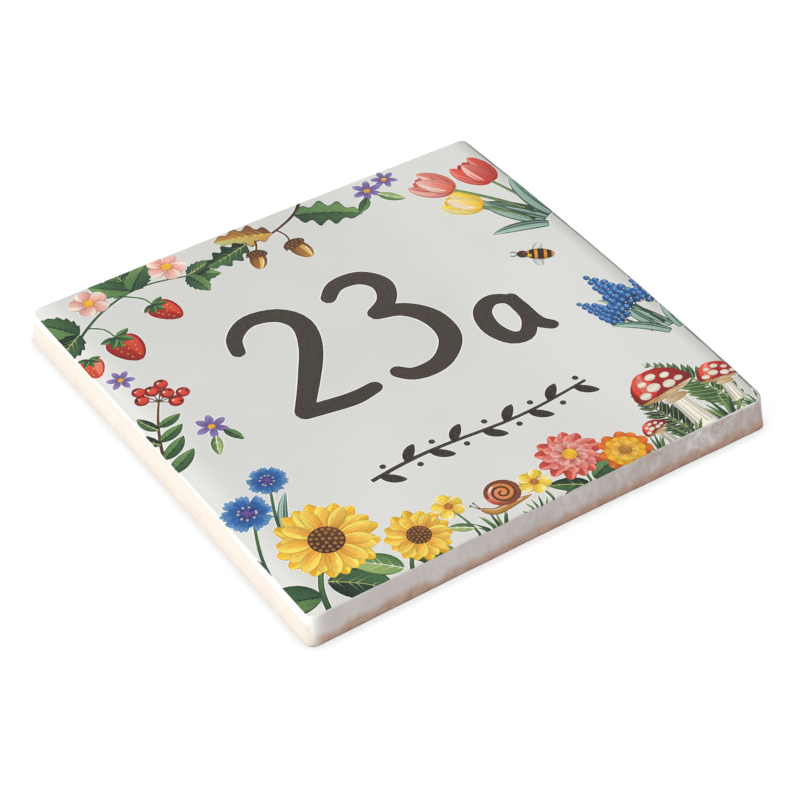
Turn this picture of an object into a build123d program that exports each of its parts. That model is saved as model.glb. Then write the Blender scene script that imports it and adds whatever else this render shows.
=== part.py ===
"""House number plaque: one hand-formed, glazed ceramic wall tile.

Sizes are in millimetres. The tile lies on its back with its face up: +Z is the face's
normal, +X the direction in which the number reads and +Y the top of the design.
The origin is the middle of the back, which is bedded on the wall.
"""

import os

from build123d import *

# Body of the tile
side = 150.0  # nominal edge of the face
thickness = 11.1  # from the back to the middle of the face
crown = 0.3  # drop of the face from its middle to the middle of an edge
flare = 0.8  # how far the back stands out past the face, all round
arris_radius = 0.9  # roll of the glaze over the edge of the face
base_radius = 0.4  # worn edge of the bare clay round the back

# Hand-made edges: bow out (+) or in (-) between two corners
bow_top = 0.15
bow_right = 1.4
bow_bottom = -0.6
bow_left = -0.4

# Hand-made corners: shift off the true square, along X and Y
shift_top_left = (-0.35, 0.05)
shift_top_right = (0.9, -0.75)
shift_bottom_right = (0.05, 1.3)
shift_bottom_left = (0.05, 0.25)

# Hand-made corners: radius in plan, at the face and at the back
radius_top_left = (3.0, 2.6)
radius_top_right = (2.0, 2.0)
radius_bottom_right = (4.6, 2.8)
radius_bottom_left = (3.0, 2.8)

# Keys pressed into the back, which hold the adhesive
key_width = 12.0
key_rib = 4.0  # least width of the ribs between keys
key_depth = 0.9
key_corner = 2.0  # cut off each corner of a key
key_draft = 20.0  # degrees, lets the die leave the clay
key_border = 12.5  # plain back outside the keys

# Worked out from the sizes above
dome_radius = ((side / 2) ** 2 + crown**2) / (2 * crown)
key_field = side - 2 * key_border
keys_per_row = 2 * int((key_field + key_rib) / (key_width + key_rib) / 2)
key_pitch = (key_field - key_width) / (keys_per_row - 1)


def outline(level, spread, end):
    """Draw the tile's outline at a level, spread outwards from the outline of the face.

    The end picks the corner radii: 0 those of the face, 1 those of the back.
    """
    half = side / 2 + spread
    top_left = (-half + shift_top_left[0], half + shift_top_left[1])
    top_right = (half + shift_top_right[0], half + shift_top_right[1])
    bottom_right = (half + shift_bottom_right[0], -half + shift_bottom_right[1])
    bottom_left = (-half + shift_bottom_left[0], -half + shift_bottom_left[1])
    corner_radii = (
        (top_left, radius_top_left[end]),
        (top_right, radius_top_right[end]),
        (bottom_right, radius_bottom_right[end]),
        (bottom_left, radius_bottom_left[end]),
    )
    with BuildSketch(Plane.XY.offset(level)) as section:
        with BuildLine():
            SagittaArc(top_left, top_right, bow_top)
            SagittaArc(top_right, bottom_right, bow_right)
            SagittaArc(bottom_right, bottom_left, bow_bottom)
            SagittaArc(bottom_left, top_left, bow_left)
        make_face()
        for corner, radius in corner_radii:
            fillet(section.vertices().sort_by_distance(corner + (0,))[0], radius)
    return section.sketch


with BuildSketch() as key:
    Rectangle(key_width, key_width)
    chamfer(key.vertices(), key_corner)

with BuildPart() as tile:
    # Drafted body between the outline of the back and that of the face
    loft([outline(0, flare, 1), outline(thickness, 0, 0)], ruled=True)

    # Gently crowned face. The ball is turned so that its seam lies well away from the face.
    with Locations((0, 0, thickness - dome_radius)):
        Sphere(dome_radius, rotation=(0, 90, 0), mode=Mode.INTERSECT)

    # Rolled edge of the glaze, and the worn edge of the bare clay
    fillet(tile.faces().sort_by(Axis.Z)[-1].edges(), arris_radius)
    fillet(tile.faces().sort_by(Axis.Z)[0].edges(), base_radius)

    # Keys in the back: an even number in a row, so that a rib crosses the middle
    with BuildSketch(Plane.XY):
        with GridLocations(key_pitch, key_pitch, keys_per_row, keys_per_row):
            add(key.sketch)
    extrude(amount=key_depth, taper=key_draft, mode=Mode.SUBTRACT)

tile.part.label = "tile"

os.makedirs("parts", exist_ok=True)
export_step(tile.part, "parts/tile.step")
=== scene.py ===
"""Dresses the house number tile: wavy white glaze over pale clay, a painted garden border and a number.

Everything is in metres in the tile's own frame: the origin is the middle of its back, +Z leaves the
glazed face, +X is the direction in which the number reads and +Y is the top of the design. The print
is drawn in millimetres on the face, as points x + yj, and then laid on the glaze. Headings are in
degrees from +X.
"""

import logging
import math
import random
from dataclasses import dataclass, field, replace
from enum import Enum
from functools import cache

import bpy
import numpy as np
from mathutils import Matrix, Vector
from mathutils.bvhtree import BVHTree


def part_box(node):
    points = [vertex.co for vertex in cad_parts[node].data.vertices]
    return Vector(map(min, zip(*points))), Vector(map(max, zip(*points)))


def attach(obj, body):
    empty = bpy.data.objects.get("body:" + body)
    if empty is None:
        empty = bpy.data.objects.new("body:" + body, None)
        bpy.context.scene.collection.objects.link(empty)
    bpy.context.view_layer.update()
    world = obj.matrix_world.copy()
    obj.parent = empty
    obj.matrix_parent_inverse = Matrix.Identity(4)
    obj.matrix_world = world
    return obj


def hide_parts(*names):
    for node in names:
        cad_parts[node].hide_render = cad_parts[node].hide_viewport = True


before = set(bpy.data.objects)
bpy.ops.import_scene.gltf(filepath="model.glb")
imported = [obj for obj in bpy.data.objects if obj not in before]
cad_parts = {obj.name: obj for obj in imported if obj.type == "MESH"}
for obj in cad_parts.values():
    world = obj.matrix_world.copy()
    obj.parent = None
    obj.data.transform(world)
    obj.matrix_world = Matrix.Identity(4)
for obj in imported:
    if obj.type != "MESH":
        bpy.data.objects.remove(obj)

log = logging.getLogger("number_tile")

MM = 0.001
BODY = "root"
NODE = "tile"

# Attributes that the pieces carry for their finishes
FACING = "facing"
MARGIN = "margin"
TONE = "tone"
BRUSH = "brush"

# Where rays that fall on the tile start
OVERHEAD = 0.1
UP = Vector((0, 0, 1))
WHITE = (1.0, 1.0, 1.0, 1.0)

# Scale, detail and height in metres of the glaze's ripple and of its grain
RIPPLES = ((130.0, 2.0, 0.000022), (700.0, 1.0, 0.0000016))

Piece = bpy.types.Object
Material = bpy.types.Material
Line = np.ndarray
Span = tuple[float, float]
Tone = tuple[int, int, int]
Rgba = tuple[float, float, float, float]


def linear(tone: np.ndarray | Tone) -> np.ndarray:
    """Turns red, green and blue from 0 to 255, in the last axis, into linear light from 0 to 1."""
    share = np.asarray(tone, float) / 255
    return np.where(share <= 0.04045, share / 12.92, ((share + 0.055) / 1.055) ** 2.4)


def colour(tone: Tone) -> Rgba:
    """Gives a display colour as a socket's red, green, blue and alpha."""
    return (*linear(tone).tolist(), 1.0)


def deselect() -> None:
    """Leaves edit mode and deselects every object."""
    if bpy.context.object and bpy.context.object.mode != "OBJECT":
        bpy.ops.object.mode_set(mode="OBJECT")
    bpy.ops.object.select_all(action="DESELECT")


def activate(*pieces: Piece) -> None:
    """Selects pieces and nothing else, and makes the first one active.

    Args:
        pieces: The pieces.
    """
    deselect()
    for piece in pieces:
        piece.select_set(True)
    bpy.context.view_layer.objects.active = pieces[0]


def join(parts: list[Piece], name: str) -> Piece:
    """Joins parts into one piece.

    Args:
        parts: The parts, of which the first becomes the piece.
        name: The piece's name.

    Returns:
        The piece.
    """
    activate(*parts)
    bpy.ops.object.join()
    parts[0].name = name
    parts[0].data.name = name
    return parts[0]


def smooth(piece: Piece, angle: float) -> None:
    """Shades a piece smooth, apart from edges that turn by more than an angle in degrees."""
    activate(piece)
    bpy.ops.object.shade_smooth_by_angle(angle=math.radians(angle))


def read_points(piece: Piece) -> np.ndarray:
    """Reads a piece's vertices.

    Args:
        piece: The piece.

    Returns:
        A row for each vertex.
    """
    points = np.empty(len(piece.data.vertices) * 3, np.float32)
    piece.data.vertices.foreach_get("co", points)
    return points.reshape(-1, 3).astype(float)


def write_points(piece: Piece, points: np.ndarray) -> None:
    """Moves a piece's vertices to the rows of an array."""
    piece.data.vertices.foreach_set("co", points.astype(np.float32).ravel())
    piece.data.update()


def add_net(columns: int, rows: int, **settings: bool) -> tuple[Piece, np.ndarray]:
    """Adds a flat net.

    Args:
        columns: Its cells along X.
        rows: Its cells along Y.
        settings: More settings of the operator.

    Returns:
        The net, and the column and row of each of its vertices.
    """
    deselect()
    bpy.ops.mesh.primitive_grid_add(x_subdivisions=columns, y_subdivisions=rows, size=1.0, **settings)
    net = bpy.context.object
    return net, np.rint((read_points(net)[:, :2] + 0.5) * (columns, rows)).astype(int)


def surface_of(piece: Piece) -> BVHTree:
    """Gives a piece's surface for rays to be cast at."""
    return BVHTree.FromObject(piece, bpy.context.evaluated_depsgraph_get())


def apply(piece: Piece, kind: str, **settings: object) -> None:
    """Adds one modifier to a piece and applies it.

    Args:
        piece: The piece to finish.
        kind: Blender's name for the modifier.
        settings: The modifier's own settings.
    """
    activate(piece)
    modifier = piece.modifiers.new(kind.title(), kind)
    for name, value in settings.items():
        setattr(modifier, name, value)
    bpy.ops.object.modifier_apply(modifier=modifier.name)


class Socket:
    """An output of a node, with the maths that adds Math nodes behind it."""

    def __init__(self, graph: "NodeGraph", link: bpy.types.NodeSocket) -> None:
        """Keeps the graph that new nodes go into, and the output itself."""
        self.graph = graph
        self.link = link

    def _math(self, operation: str, first: "Socket | float", second: "Socket | float") -> "Socket":
        """Adds one Math node for two values."""
        return self.graph.add("ShaderNodeMath", {"operation": operation}, {0: first, 1: second})

    def __add__(self, other: "Socket | float") -> "Socket":
        """Adds a value."""
        return self._math("ADD", self, other)

    def __radd__(self, other: float) -> "Socket":
        """Is added to a value."""
        return self._math("ADD", other, self)

    def __sub__(self, other: "Socket | float") -> "Socket":
        """Takes a value away."""
        return self._math("SUBTRACT", self, other)

    def __rsub__(self, other: float) -> "Socket":
        """Is taken away from a value."""
        return self._math("SUBTRACT", other, self)

    def __mul__(self, other: "Socket | float") -> "Socket":
        """Multiplies by a value."""
        return self._math("MULTIPLY", self, other)


class NodeGraph:
    """The nodes of one material or of the world."""

    def __init__(self, owner: Material | bpy.types.World) -> None:
        """Clears the owner's nodes, to start from none.

        Args:
            owner: The material or the world.
        """
        owner.use_nodes = True
        self.tree = owner.node_tree
        self.tree.nodes.clear()

    def add(self, kind: str, settings: dict, inputs: dict, output: int | str = 0) -> Socket | None:
        """Adds one node.

        Args:
            kind: Blender's name for the node.
            settings: The node's own settings, set before its inputs.
            inputs: A value or a Socket for each input, by its name or number.
            output: The output that is wanted, by its name or number.

        Returns:
            That output, or None where the node has no outputs.
        """
        node = self.tree.nodes.new(kind)
        for name, value in settings.items():
            setattr(node, name, value)
        for key, value in inputs.items():
            if isinstance(value, Socket):
                self.tree.links.new(value.link, node.inputs[key])
            else:
                node.inputs[key].default_value = value
        return Socket(self, node.outputs[output]) if node.outputs else None

    def coordinates(self) -> Socket:
        """Gives the piece's own coordinates."""
        return self.add("ShaderNodeTexCoord", {}, {}, "Object")

    def attribute(self, name: str, output: str) -> Socket:
        """Gives one of the attributes that the piece carries."""
        return self.add("ShaderNodeAttribute", {"attribute_name": name}, {}, output)

    def axis(self, vector: Socket, name: str) -> Socket:
        """Gives one axis of a vector."""
        return self.add("ShaderNodeSeparateXYZ", {}, {0: vector}, name)

    def noise(
        self, vector: Socket, scale: float, detail: float, rough: float = 0.5, twist: float = 0.0
    ) -> Socket:
        """Gives soft noise from 0 to 1."""
        values = {"Vector": vector, "Scale": scale, "Detail": detail, "Roughness": rough, "Distortion": twist}
        return self.add("ShaderNodeTexNoise", {}, values)

    def stretch(self, vector: Socket, scale: tuple[float, float, float]) -> Socket:
        """Scales a vector by its own amount on each axis."""
        return self.add("ShaderNodeVectorMath", {"operation": "MULTIPLY"}, {0: vector, 1: scale})

    def ramp(self, value: Socket, low: float, high: float) -> Socket:
        """Rises smoothly from 0 at low to 1 at high."""
        inputs = {"Value": value, "From Min": low, "From Max": high}
        return self.add("ShaderNodeMapRange", {"interpolation_type": "SMOOTHSTEP"}, inputs)

    def blend(
        self, share: Socket | float, first: Socket | Rgba, second: Socket | Rgba, how: str = "MIX"
    ) -> Socket:
        """Blends two colours."""
        settings = {"data_type": "RGBA", "blend_type": how}
        return self.add("ShaderNodeMix", settings, {0: share, 6: first, 7: second}, 2)

    def light(self, kind: str, strength: float) -> Socket:
        """Gives a shader that sheds plain white light."""
        return self.add(kind, {}, {"Color": WHITE, "Strength": strength})

    def mix(self, share: Socket | float, first: Socket, second: Socket) -> Socket:
        """Mixes two shaders."""
        return self.add("ShaderNodeMixShader", {}, {0: share, 1: first, 2: second})

    def surface(self, shader: Socket) -> None:
        """Sends a shader to the material's output."""
        self.add("ShaderNodeOutputMaterial", {}, {"Surface": shader})

    def glossy(self, tone: Socket, roughness: Socket | float, refraction: float, height: Socket) -> None:
        """Sends a glossy surface to the material's output.

        Args:
            tone: Its colour.
            roughness: Its roughness.
            refraction: Its index of refraction.
            height: Its relief, in metres.
        """
        normal = self.add("ShaderNodeBump", {}, {"Strength": 1.0, "Distance": 1.0, "Height": height})
        values = {"Base Color": tone, "Roughness": roughness, "IOR": refraction, "Normal": normal}
        self.surface(self.add("ShaderNodeBsdfPrincipled", {}, values))

    def ripple(self, place: Socket) -> Socket:
        """Gives the height of the poured glaze's fine ripple, which the print shares."""
        waves, grain = (self.noise(place, scale, detail) * height for scale, detail, height in RIPPLES)
        return waves + grain

    def seen_directly(self) -> Socket:
        """Tells the rays that show a background as it is: the camera's, mirrored and refracted ones.

        Returns:
            1 for such a ray and 0 for any other.
        """
        kinds = ("Is Camera Ray", "Is Glossy Ray", "Is Transmission Ray")
        camera, mirrored, refracted = (self.add("ShaderNodeLightPath", {}, {}, kind) for kind in kinds)
        return camera + mirrored + refracted


@dataclass
class TileMap:
    """Where on the tile a point lies and which way it faces, as sockets that a finish varies by."""

    graph: NodeGraph
    left_edge: float = -74.0 * MM
    right_edge: float = 76.0 * MM

    def __post_init__(self) -> None:
        """Reads the coordinates and the attributes that the tile carries."""
        graph = self.graph
        self.place = graph.coordinates()
        self.across, self.along, self.height = (graph.axis(self.place, name) for name in "XYZ")
        facing, margin = (graph.attribute(name, "Vector") for name in (FACING, MARGIN))
        self.east, self.up = (graph.axis(facing, name) for name in "XZ")
        self.from_left, self.from_right = (graph.axis(margin, name) for name in "XY")
        self.side = 1 - graph.ramp(self.up, 0.5, 0.9)
        self.left = 1 - graph.ramp(self.east, -0.85, -0.55)
        self.turning = graph.ramp(self.east, -0.6, -0.15)
        self.rightward = graph.ramp(self.across, self.left_edge, self.right_edge)
        self.smoke = self.runs(0.55, 330.0, 4.0, 0.62, 1.2)
        self.veil = self.runs(0.1, 90.0, 2.0)

    def runs(
        self, squeeze: float, scale: float, detail: float, rough: float = 0.5, twist: float = 0.0
    ) -> Socket:
        """Gives noise that is drawn out upwards, as runs of glaze are."""
        drawn_out = self.graph.stretch(self.place, (1.0, 1.0, squeeze))
        return self.graph.noise(drawn_out, scale, detail, rough, twist)

    def past_corner(self, width: float) -> Socket:
        """Rises from 0 at the left edge to 1 where the corner there ends."""
        return self.graph.ramp(self.across, self.left_edge, self.left_edge + width)


@dataclass(frozen=True)
class GlazeFinish:
    """White gloss glaze that thins out down the sides, over bare clay."""

    white: Tone = (230, 231, 227)
    shade: Tone = (215, 216, 213)
    # White of the random glaze runs, also used for painted highlight at the left edge and the left corners
    white_runs_and_highlight: Tone = (251, 251, 249)
    side_pale: Tone = (229, 222, 219)
    # Grey of random smoke on the sides, and of painted shade towards the right
    smoke_and_shade_grey: Tone = (205, 195, 191)
    # Painted shade on the face towards its right edge
    right_shade_grey: Tone = (180, 179, 178)
    # Painted shade along the right arris
    arris_shade_grey: Tone = (98, 94, 92)
    cream: Tone = (234, 227, 217)
    clay: Tone = (212, 180, 161)
    clay_dark: Tone = (190, 154, 133)
    speck: Tone = (120, 112, 104)
    # Painted contact shade at the foot
    contact_shade: Rgba = (0.2, 0.16, 0.14, 1.0)
    cream_height: float = 10.0 * MM
    near_drop: float = 2.4 * MM
    far_drop: float = 1.8 * MM
    foot_height: float = 3.3 * MM
    left_highlight_width: float = 11.0 * MM
    right_shade_width: float = 5.2 * MM
    corner_width: float = 6.5 * MM
    grit_relief: float = 0.04 * MM
    smoke_relief: float = 0.12 * MM
    refraction: float = 1.4

    def material(self) -> Material:
        """Builds the glaze and clay.

        Returns:
            The tile's material.
        """
        made = bpy.data.materials.new("white_glaze_over_clay")
        graph = NodeGraph(made)
        at = TileMap(graph)
        glaze = graph.blend(at.side, self._face(at), self._sides(at))

        # Painted shade: a dark line along the right arris, where it turns away from the lamp, patchier in
        # some places than in others
        patchy = graph.ramp(graph.noise(at.place, 75.0, 2.0), 0.32, 0.68)
        arris_shade = (1 - graph.ramp(at.from_right, -0.0003, 0.0003)) * graph.ramp(at.up, 0.38, 0.58)
        arris_shade = arris_shade * (0.6 + patchy * 0.4) * graph.ramp(at.along, -0.0745, -0.066)
        glaze = graph.blend(arris_shade, glaze, colour(self.arris_shade_grey))

        # Clay warms the left side: highest in the middle, where the glaze is thinnest
        edge = self.cream_height - self.near_drop + graph.ramp(at.along, -0.07, -0.02) * self.near_drop
        edge = edge - graph.ramp(at.along, 0.04, 0.075) * self.far_drop
        warmth = at.left * graph.ramp(edge - at.height + (at.veil - 0.5) * 0.001, -0.0004, 0.001)
        glaze = graph.blend(warmth, glaze, colour(self.cream))

        # Bare clay at the foot, under a blurred and uneven edge, and on the back
        blots = graph.noise(at.place, 420.0, 3.0, 0.6)
        grit = graph.noise(at.place, 1100.0, 4.0, 0.7)
        line = self.foot_height + (at.runs(0.15, 150.0, 3.0, 0.6) - 0.5) * 0.006 + (blots - 0.5) * 0.0034
        cover = graph.ramp(at.height - line, -0.0019, 0.0017)
        tone = graph.blend(cover, self._clay(at, blots * 0.65 + grit * 0.35), glaze)
        # Painted contact shade: the clay darker in its lowest millimetre, except on the left side
        painted_contact_shade = (1 - graph.ramp(at.height, 0.0003, 0.0013)) * (1 - at.left) * 0.3
        tone = graph.blend(painted_contact_shade, tone, self.contact_shade, "MULTIPLY")

        roughness = 0.82 - cover * (0.62 - at.side * 0.2 - arris_shade * 0.3)
        relief = graph.ripple(at.place) + grit * (1 - cover) * self.grit_relief
        graph.glossy(tone, roughness, self.refraction, relief + at.smoke * at.side * self.smoke_relief)
        return made

    def _face(self, at: TileMap) -> Socket:
        """Tints the face: painted sheen to the right and near left, a painted highlight at its left edge and
        painted shade at its right.

        Args:
            at: Where on the tile a point lies.

        Returns:
            The glaze's colour on the face, with its rare specks.
        """
        graph = at.graph
        # Painted sheen: the face whiter to the right and towards the near left corner, with random clouds
        near = (1 - graph.ramp(at.along, -0.07, 0.045)) * (1 - at.rightward)
        near = near * graph.ramp(at.across, -0.075, -0.03)
        cloud = graph.noise(at.place, 30.0, 2.0)
        sheen_and_cloud = graph.ramp(at.across, 0.01, 0.05) * 0.6 + near * 0.8 + (cloud - 0.5) * 0.9 + 0.15
        glaze = graph.blend(sheen_and_cloud, colour(self.shade), colour(self.white))
        # Painted highlight along the left edge, where the face tilts towards the lamp
        left_highlight = 1 - graph.ramp(at.from_left, -0.001, self.left_highlight_width)
        left_highlight = left_highlight * (0.38 + graph.ramp(at.along, -0.03, 0.05) * 0.16)
        glaze = graph.blend(left_highlight, glaze, colour(self.white_runs_and_highlight))
        # Painted shade: the face greyer towards its right edge
        right_shade = 1 - graph.ramp(at.from_right, -0.0008, self.right_shade_width)
        glaze = graph.blend(right_shade * 0.56, glaze, colour(self.right_shade_grey))
        cells = {"Vector": at.place, "Scale": 75.0, "Randomness": 1.0}
        spot, chance = (graph.add("ShaderNodeTexVoronoi", {}, cells, name) for name in ("Distance", "Color"))
        specks = (1 - graph.ramp(spot, 0.012, 0.03)) * graph.ramp(graph.axis(chance, "X"), 0.9, 0.91) * 0.6
        return graph.blend(specks, glaze, colour(self.speck))

    def _sides(self, at: TileMap) -> Socket:
        """Tints the sides thin and smoky, marbled and with painted shade to the right, with a painted
        highlight at the left corners.

        Args:
            at: Where on the tile a point lies.

        Returns:
            The glaze's colour on the sides.
        """
        graph = at.graph
        # Painted shade greys the sides towards the right, over random smoke and veil
        grey = at.rightward * 0.7 + (at.smoke - 0.5) * (0.8 + at.rightward * 2.2)
        grey = grey + (at.veil - 0.5) * 1.2 + 0.12
        thin = graph.blend(grey, colour(self.side_pale), colour(self.smoke_and_shade_grey))
        marble = at.runs(0.75, 190.0, 3.0, 0.55, 1.6)
        marbled = graph.ramp(at.across, 0.0, 0.06)
        thin = graph.blend(graph.ramp(marble, 0.48, 0.66) * marbled * 0.55, thin, colour(self.clay_dark))
        thin = graph.blend(graph.ramp(marble, 0.46, 0.3) * marbled * 0.6, thin, colour(self.white_runs_and_highlight))
        # Sides facing left take the white, and a painted highlight fades from it round the left corners
        corner = 1 - at.past_corner(self.corner_width)
        return graph.blend(1 - at.turning * (1 - corner * corner * 0.85), thin, colour(self.white_runs_and_highlight))

    def _clay(self, at: TileMap, mottle: Socket) -> Socket:
        """Tints the bare clay, paler on the left side and round its corners.

        Args:
            at: Where on the tile a point lies.
            mottle: The clay's blots and grit, from 0 to 1.

        Returns:
            The clay's colour.
        """
        graph = at.graph
        clay = graph.blend(graph.ramp(mottle, 0.38, 0.62), colour(self.clay_dark), colour(self.clay))
        pale = 1 - at.turning * at.past_corner(self.corner_width / 2)
        return graph.blend(pale * 0.85, clay, colour(self.cream))


@dataclass(frozen=True)
class GouacheFinish:
    """Print in brushed, opaque colours, fired under the same gloss as the glaze."""

    name: str = "garden_gouache"
    streak: float = 0.34
    grain: float = 0.06
    roughness: float = 0.2
    refraction: float = 1.22
    highlight: Rgba = (1.0, 0.98, 0.92, 1.0)
    shadow: Rgba = (0.1, 0.1, 0.14, 1.0)

    @cache
    def material(self) -> Material:
        """Builds the paint once. Each mark carries its tone and the way that it was brushed.

        Returns:
            The print's material.
        """
        made = bpy.data.materials.new(self.name)
        graph = NodeGraph(made)
        place = graph.coordinates()
        hairs = graph.noise(graph.stretch(graph.attribute(BRUSH, "Vector"), (0.22, 2.4, 1.0)), 1.0, 3.0, 0.6)
        dabs = graph.noise(place, 900.0, 2.0)
        fine = graph.noise(place, 3600.0, 2.0, 0.7)
        light = graph.ramp(hairs * 0.75 + dabs * 0.25, 0.52, 0.72)
        dark = graph.ramp(hairs * 0.7 + dabs * 0.3, 0.50, 0.30)
        paint = graph.attribute(TONE, "Color")
        paint = graph.blend(light * self.streak, paint, self.highlight, "SOFT_LIGHT")
        paint = graph.blend(dark * self.streak, paint, self.shadow, "MULTIPLY")
        paint = graph.blend(graph.ramp(fine, 0.45, 0.75) * self.grain, paint, WHITE)
        graph.glossy(paint, self.roughness, self.refraction, graph.ripple(place))
        return made


CHARCOAL = GouacheFinish("charcoal_ink", streak=0.1, grain=0.09)


@dataclass(frozen=True)
class FloorFinish:
    """White sweep that reads as plain white and takes a close, soft shadow where the tile meets it."""

    glow: float = 0.9
    bright: float = 1.04
    dim: float = 0.83
    reach: float = 4.0 * MM
    paper: float = 0.8

    def material(self) -> Material:
        """Builds the sweep.

        Returns:
            The floor's material.
        """
        made = bpy.data.materials.new("white_sweep")
        graph = NodeGraph(made)
        tones = ((self.paper,) * 3 + (1.0,), WHITE)
        matt, white = (graph.add("ShaderNodeBsdfDiffuse", {}, {"Color": tone}) for tone in tones)
        dim, lit = (graph.light("ShaderNodeEmission", strength) for strength in (self.dim, self.bright))
        clear = graph.add("ShaderNodeAmbientOcclusion", {}, {"Distance": self.reach}, "AO")
        shown = graph.mix(self.glow, white, graph.mix(graph.ramp(clear, 0.5, 1.0), dim, lit))
        graph.surface(graph.mix(graph.seen_directly(), matt, shown))
        return made


@dataclass(frozen=True)
class Lamp:
    """The soft panel light, by its direction from the tile."""

    azimuth: float = 176.0
    elevation: float = 38.0
    distance: float = 3.0
    size: float = 1.9
    power: float = 62.0
    warmth: tuple[float, float, float] = (1.0, 0.985, 0.96)

    def hang(self) -> None:
        """Places the lamp so that it faces the tile."""
        turn, rise = math.radians(self.azimuth), math.radians(self.elevation)
        away = Vector((math.cos(rise) * math.cos(turn), math.cos(rise) * math.sin(turn), math.sin(rise)))
        bpy.ops.object.light_add(type="AREA", location=away * self.distance)
        lamp = bpy.context.object
        lamp.name = "left_panel"
        lamp.rotation_euler = away.to_track_quat("Z", "Y").to_euler()
        lamp.data.size = self.size
        lamp.data.energy = self.power
        lamp.data.color = self.warmth


@dataclass
class Studio:
    """Camera, light and floor of the picture."""

    azimuth: float = -33.471
    elevation: float = 41.122
    roll: float = -0.504
    distance: float = 0.76185
    target: tuple[float, float, float] = (-2.499 * MM, -7.382 * MM, 0.0)
    lens: float = 121.527
    sensor: float = 36.0
    nearest: float = 0.01
    sky: float = 0.55
    floor_size: float = 8.0
    floor_gap: float = 0.02 * MM
    lamp: Lamp = Lamp()

    def build(self) -> None:
        """Sets up the whole studio."""
        bpy.context.scene.view_settings.view_transform = "Standard"
        deselect()
        self._camera()
        self._sky()
        self.lamp.hang()
        self._floor()

    def _camera(self) -> None:
        """Places the camera where the picture was taken from."""
        turn, rise, tilt = (math.radians(a) for a in (self.azimuth, self.elevation, self.roll))
        back = Vector((math.sin(turn) * math.cos(rise), -math.cos(turn) * math.cos(rise), math.sin(rise)))
        right = (-back).cross(UP).normalized()
        up = right.cross(-back)
        across = math.cos(tilt) * right + math.sin(tilt) * up
        along = math.cos(tilt) * up - math.sin(tilt) * right
        bpy.ops.object.camera_add()
        camera = bpy.context.object
        pose = Matrix((across, along, back)).transposed().to_4x4()
        pose.translation = Vector(self.target) + back * self.distance
        camera.matrix_world = pose
        camera.data.lens = self.lens
        camera.data.sensor_width = self.sensor
        camera.data.clip_start = self.nearest
        bpy.context.scene.camera = camera

    def _sky(self) -> None:
        """Fills the room with plain light that the camera sees as white."""
        world = bpy.data.worlds.new("studio_room")
        bpy.context.scene.world = world
        graph = NodeGraph(world)
        dim, white = (graph.light("ShaderNodeBackground", strength) for strength in (self.sky, 1.0))
        graph.add("ShaderNodeOutputWorld", {}, {"Surface": graph.mix(graph.seen_directly(), dim, white)})

    def _floor(self) -> None:
        """Lays the floor just under the tile."""
        deselect()
        bpy.ops.mesh.primitive_plane_add(size=self.floor_size, location=(0, 0, -self.floor_gap))
        floor = bpy.context.object
        floor.name = "white_floor"
        bpy.ops.object.transform_apply(location=True, rotation=False, scale=False)
        floor.data.materials.append(FloorFinish().material())


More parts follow.
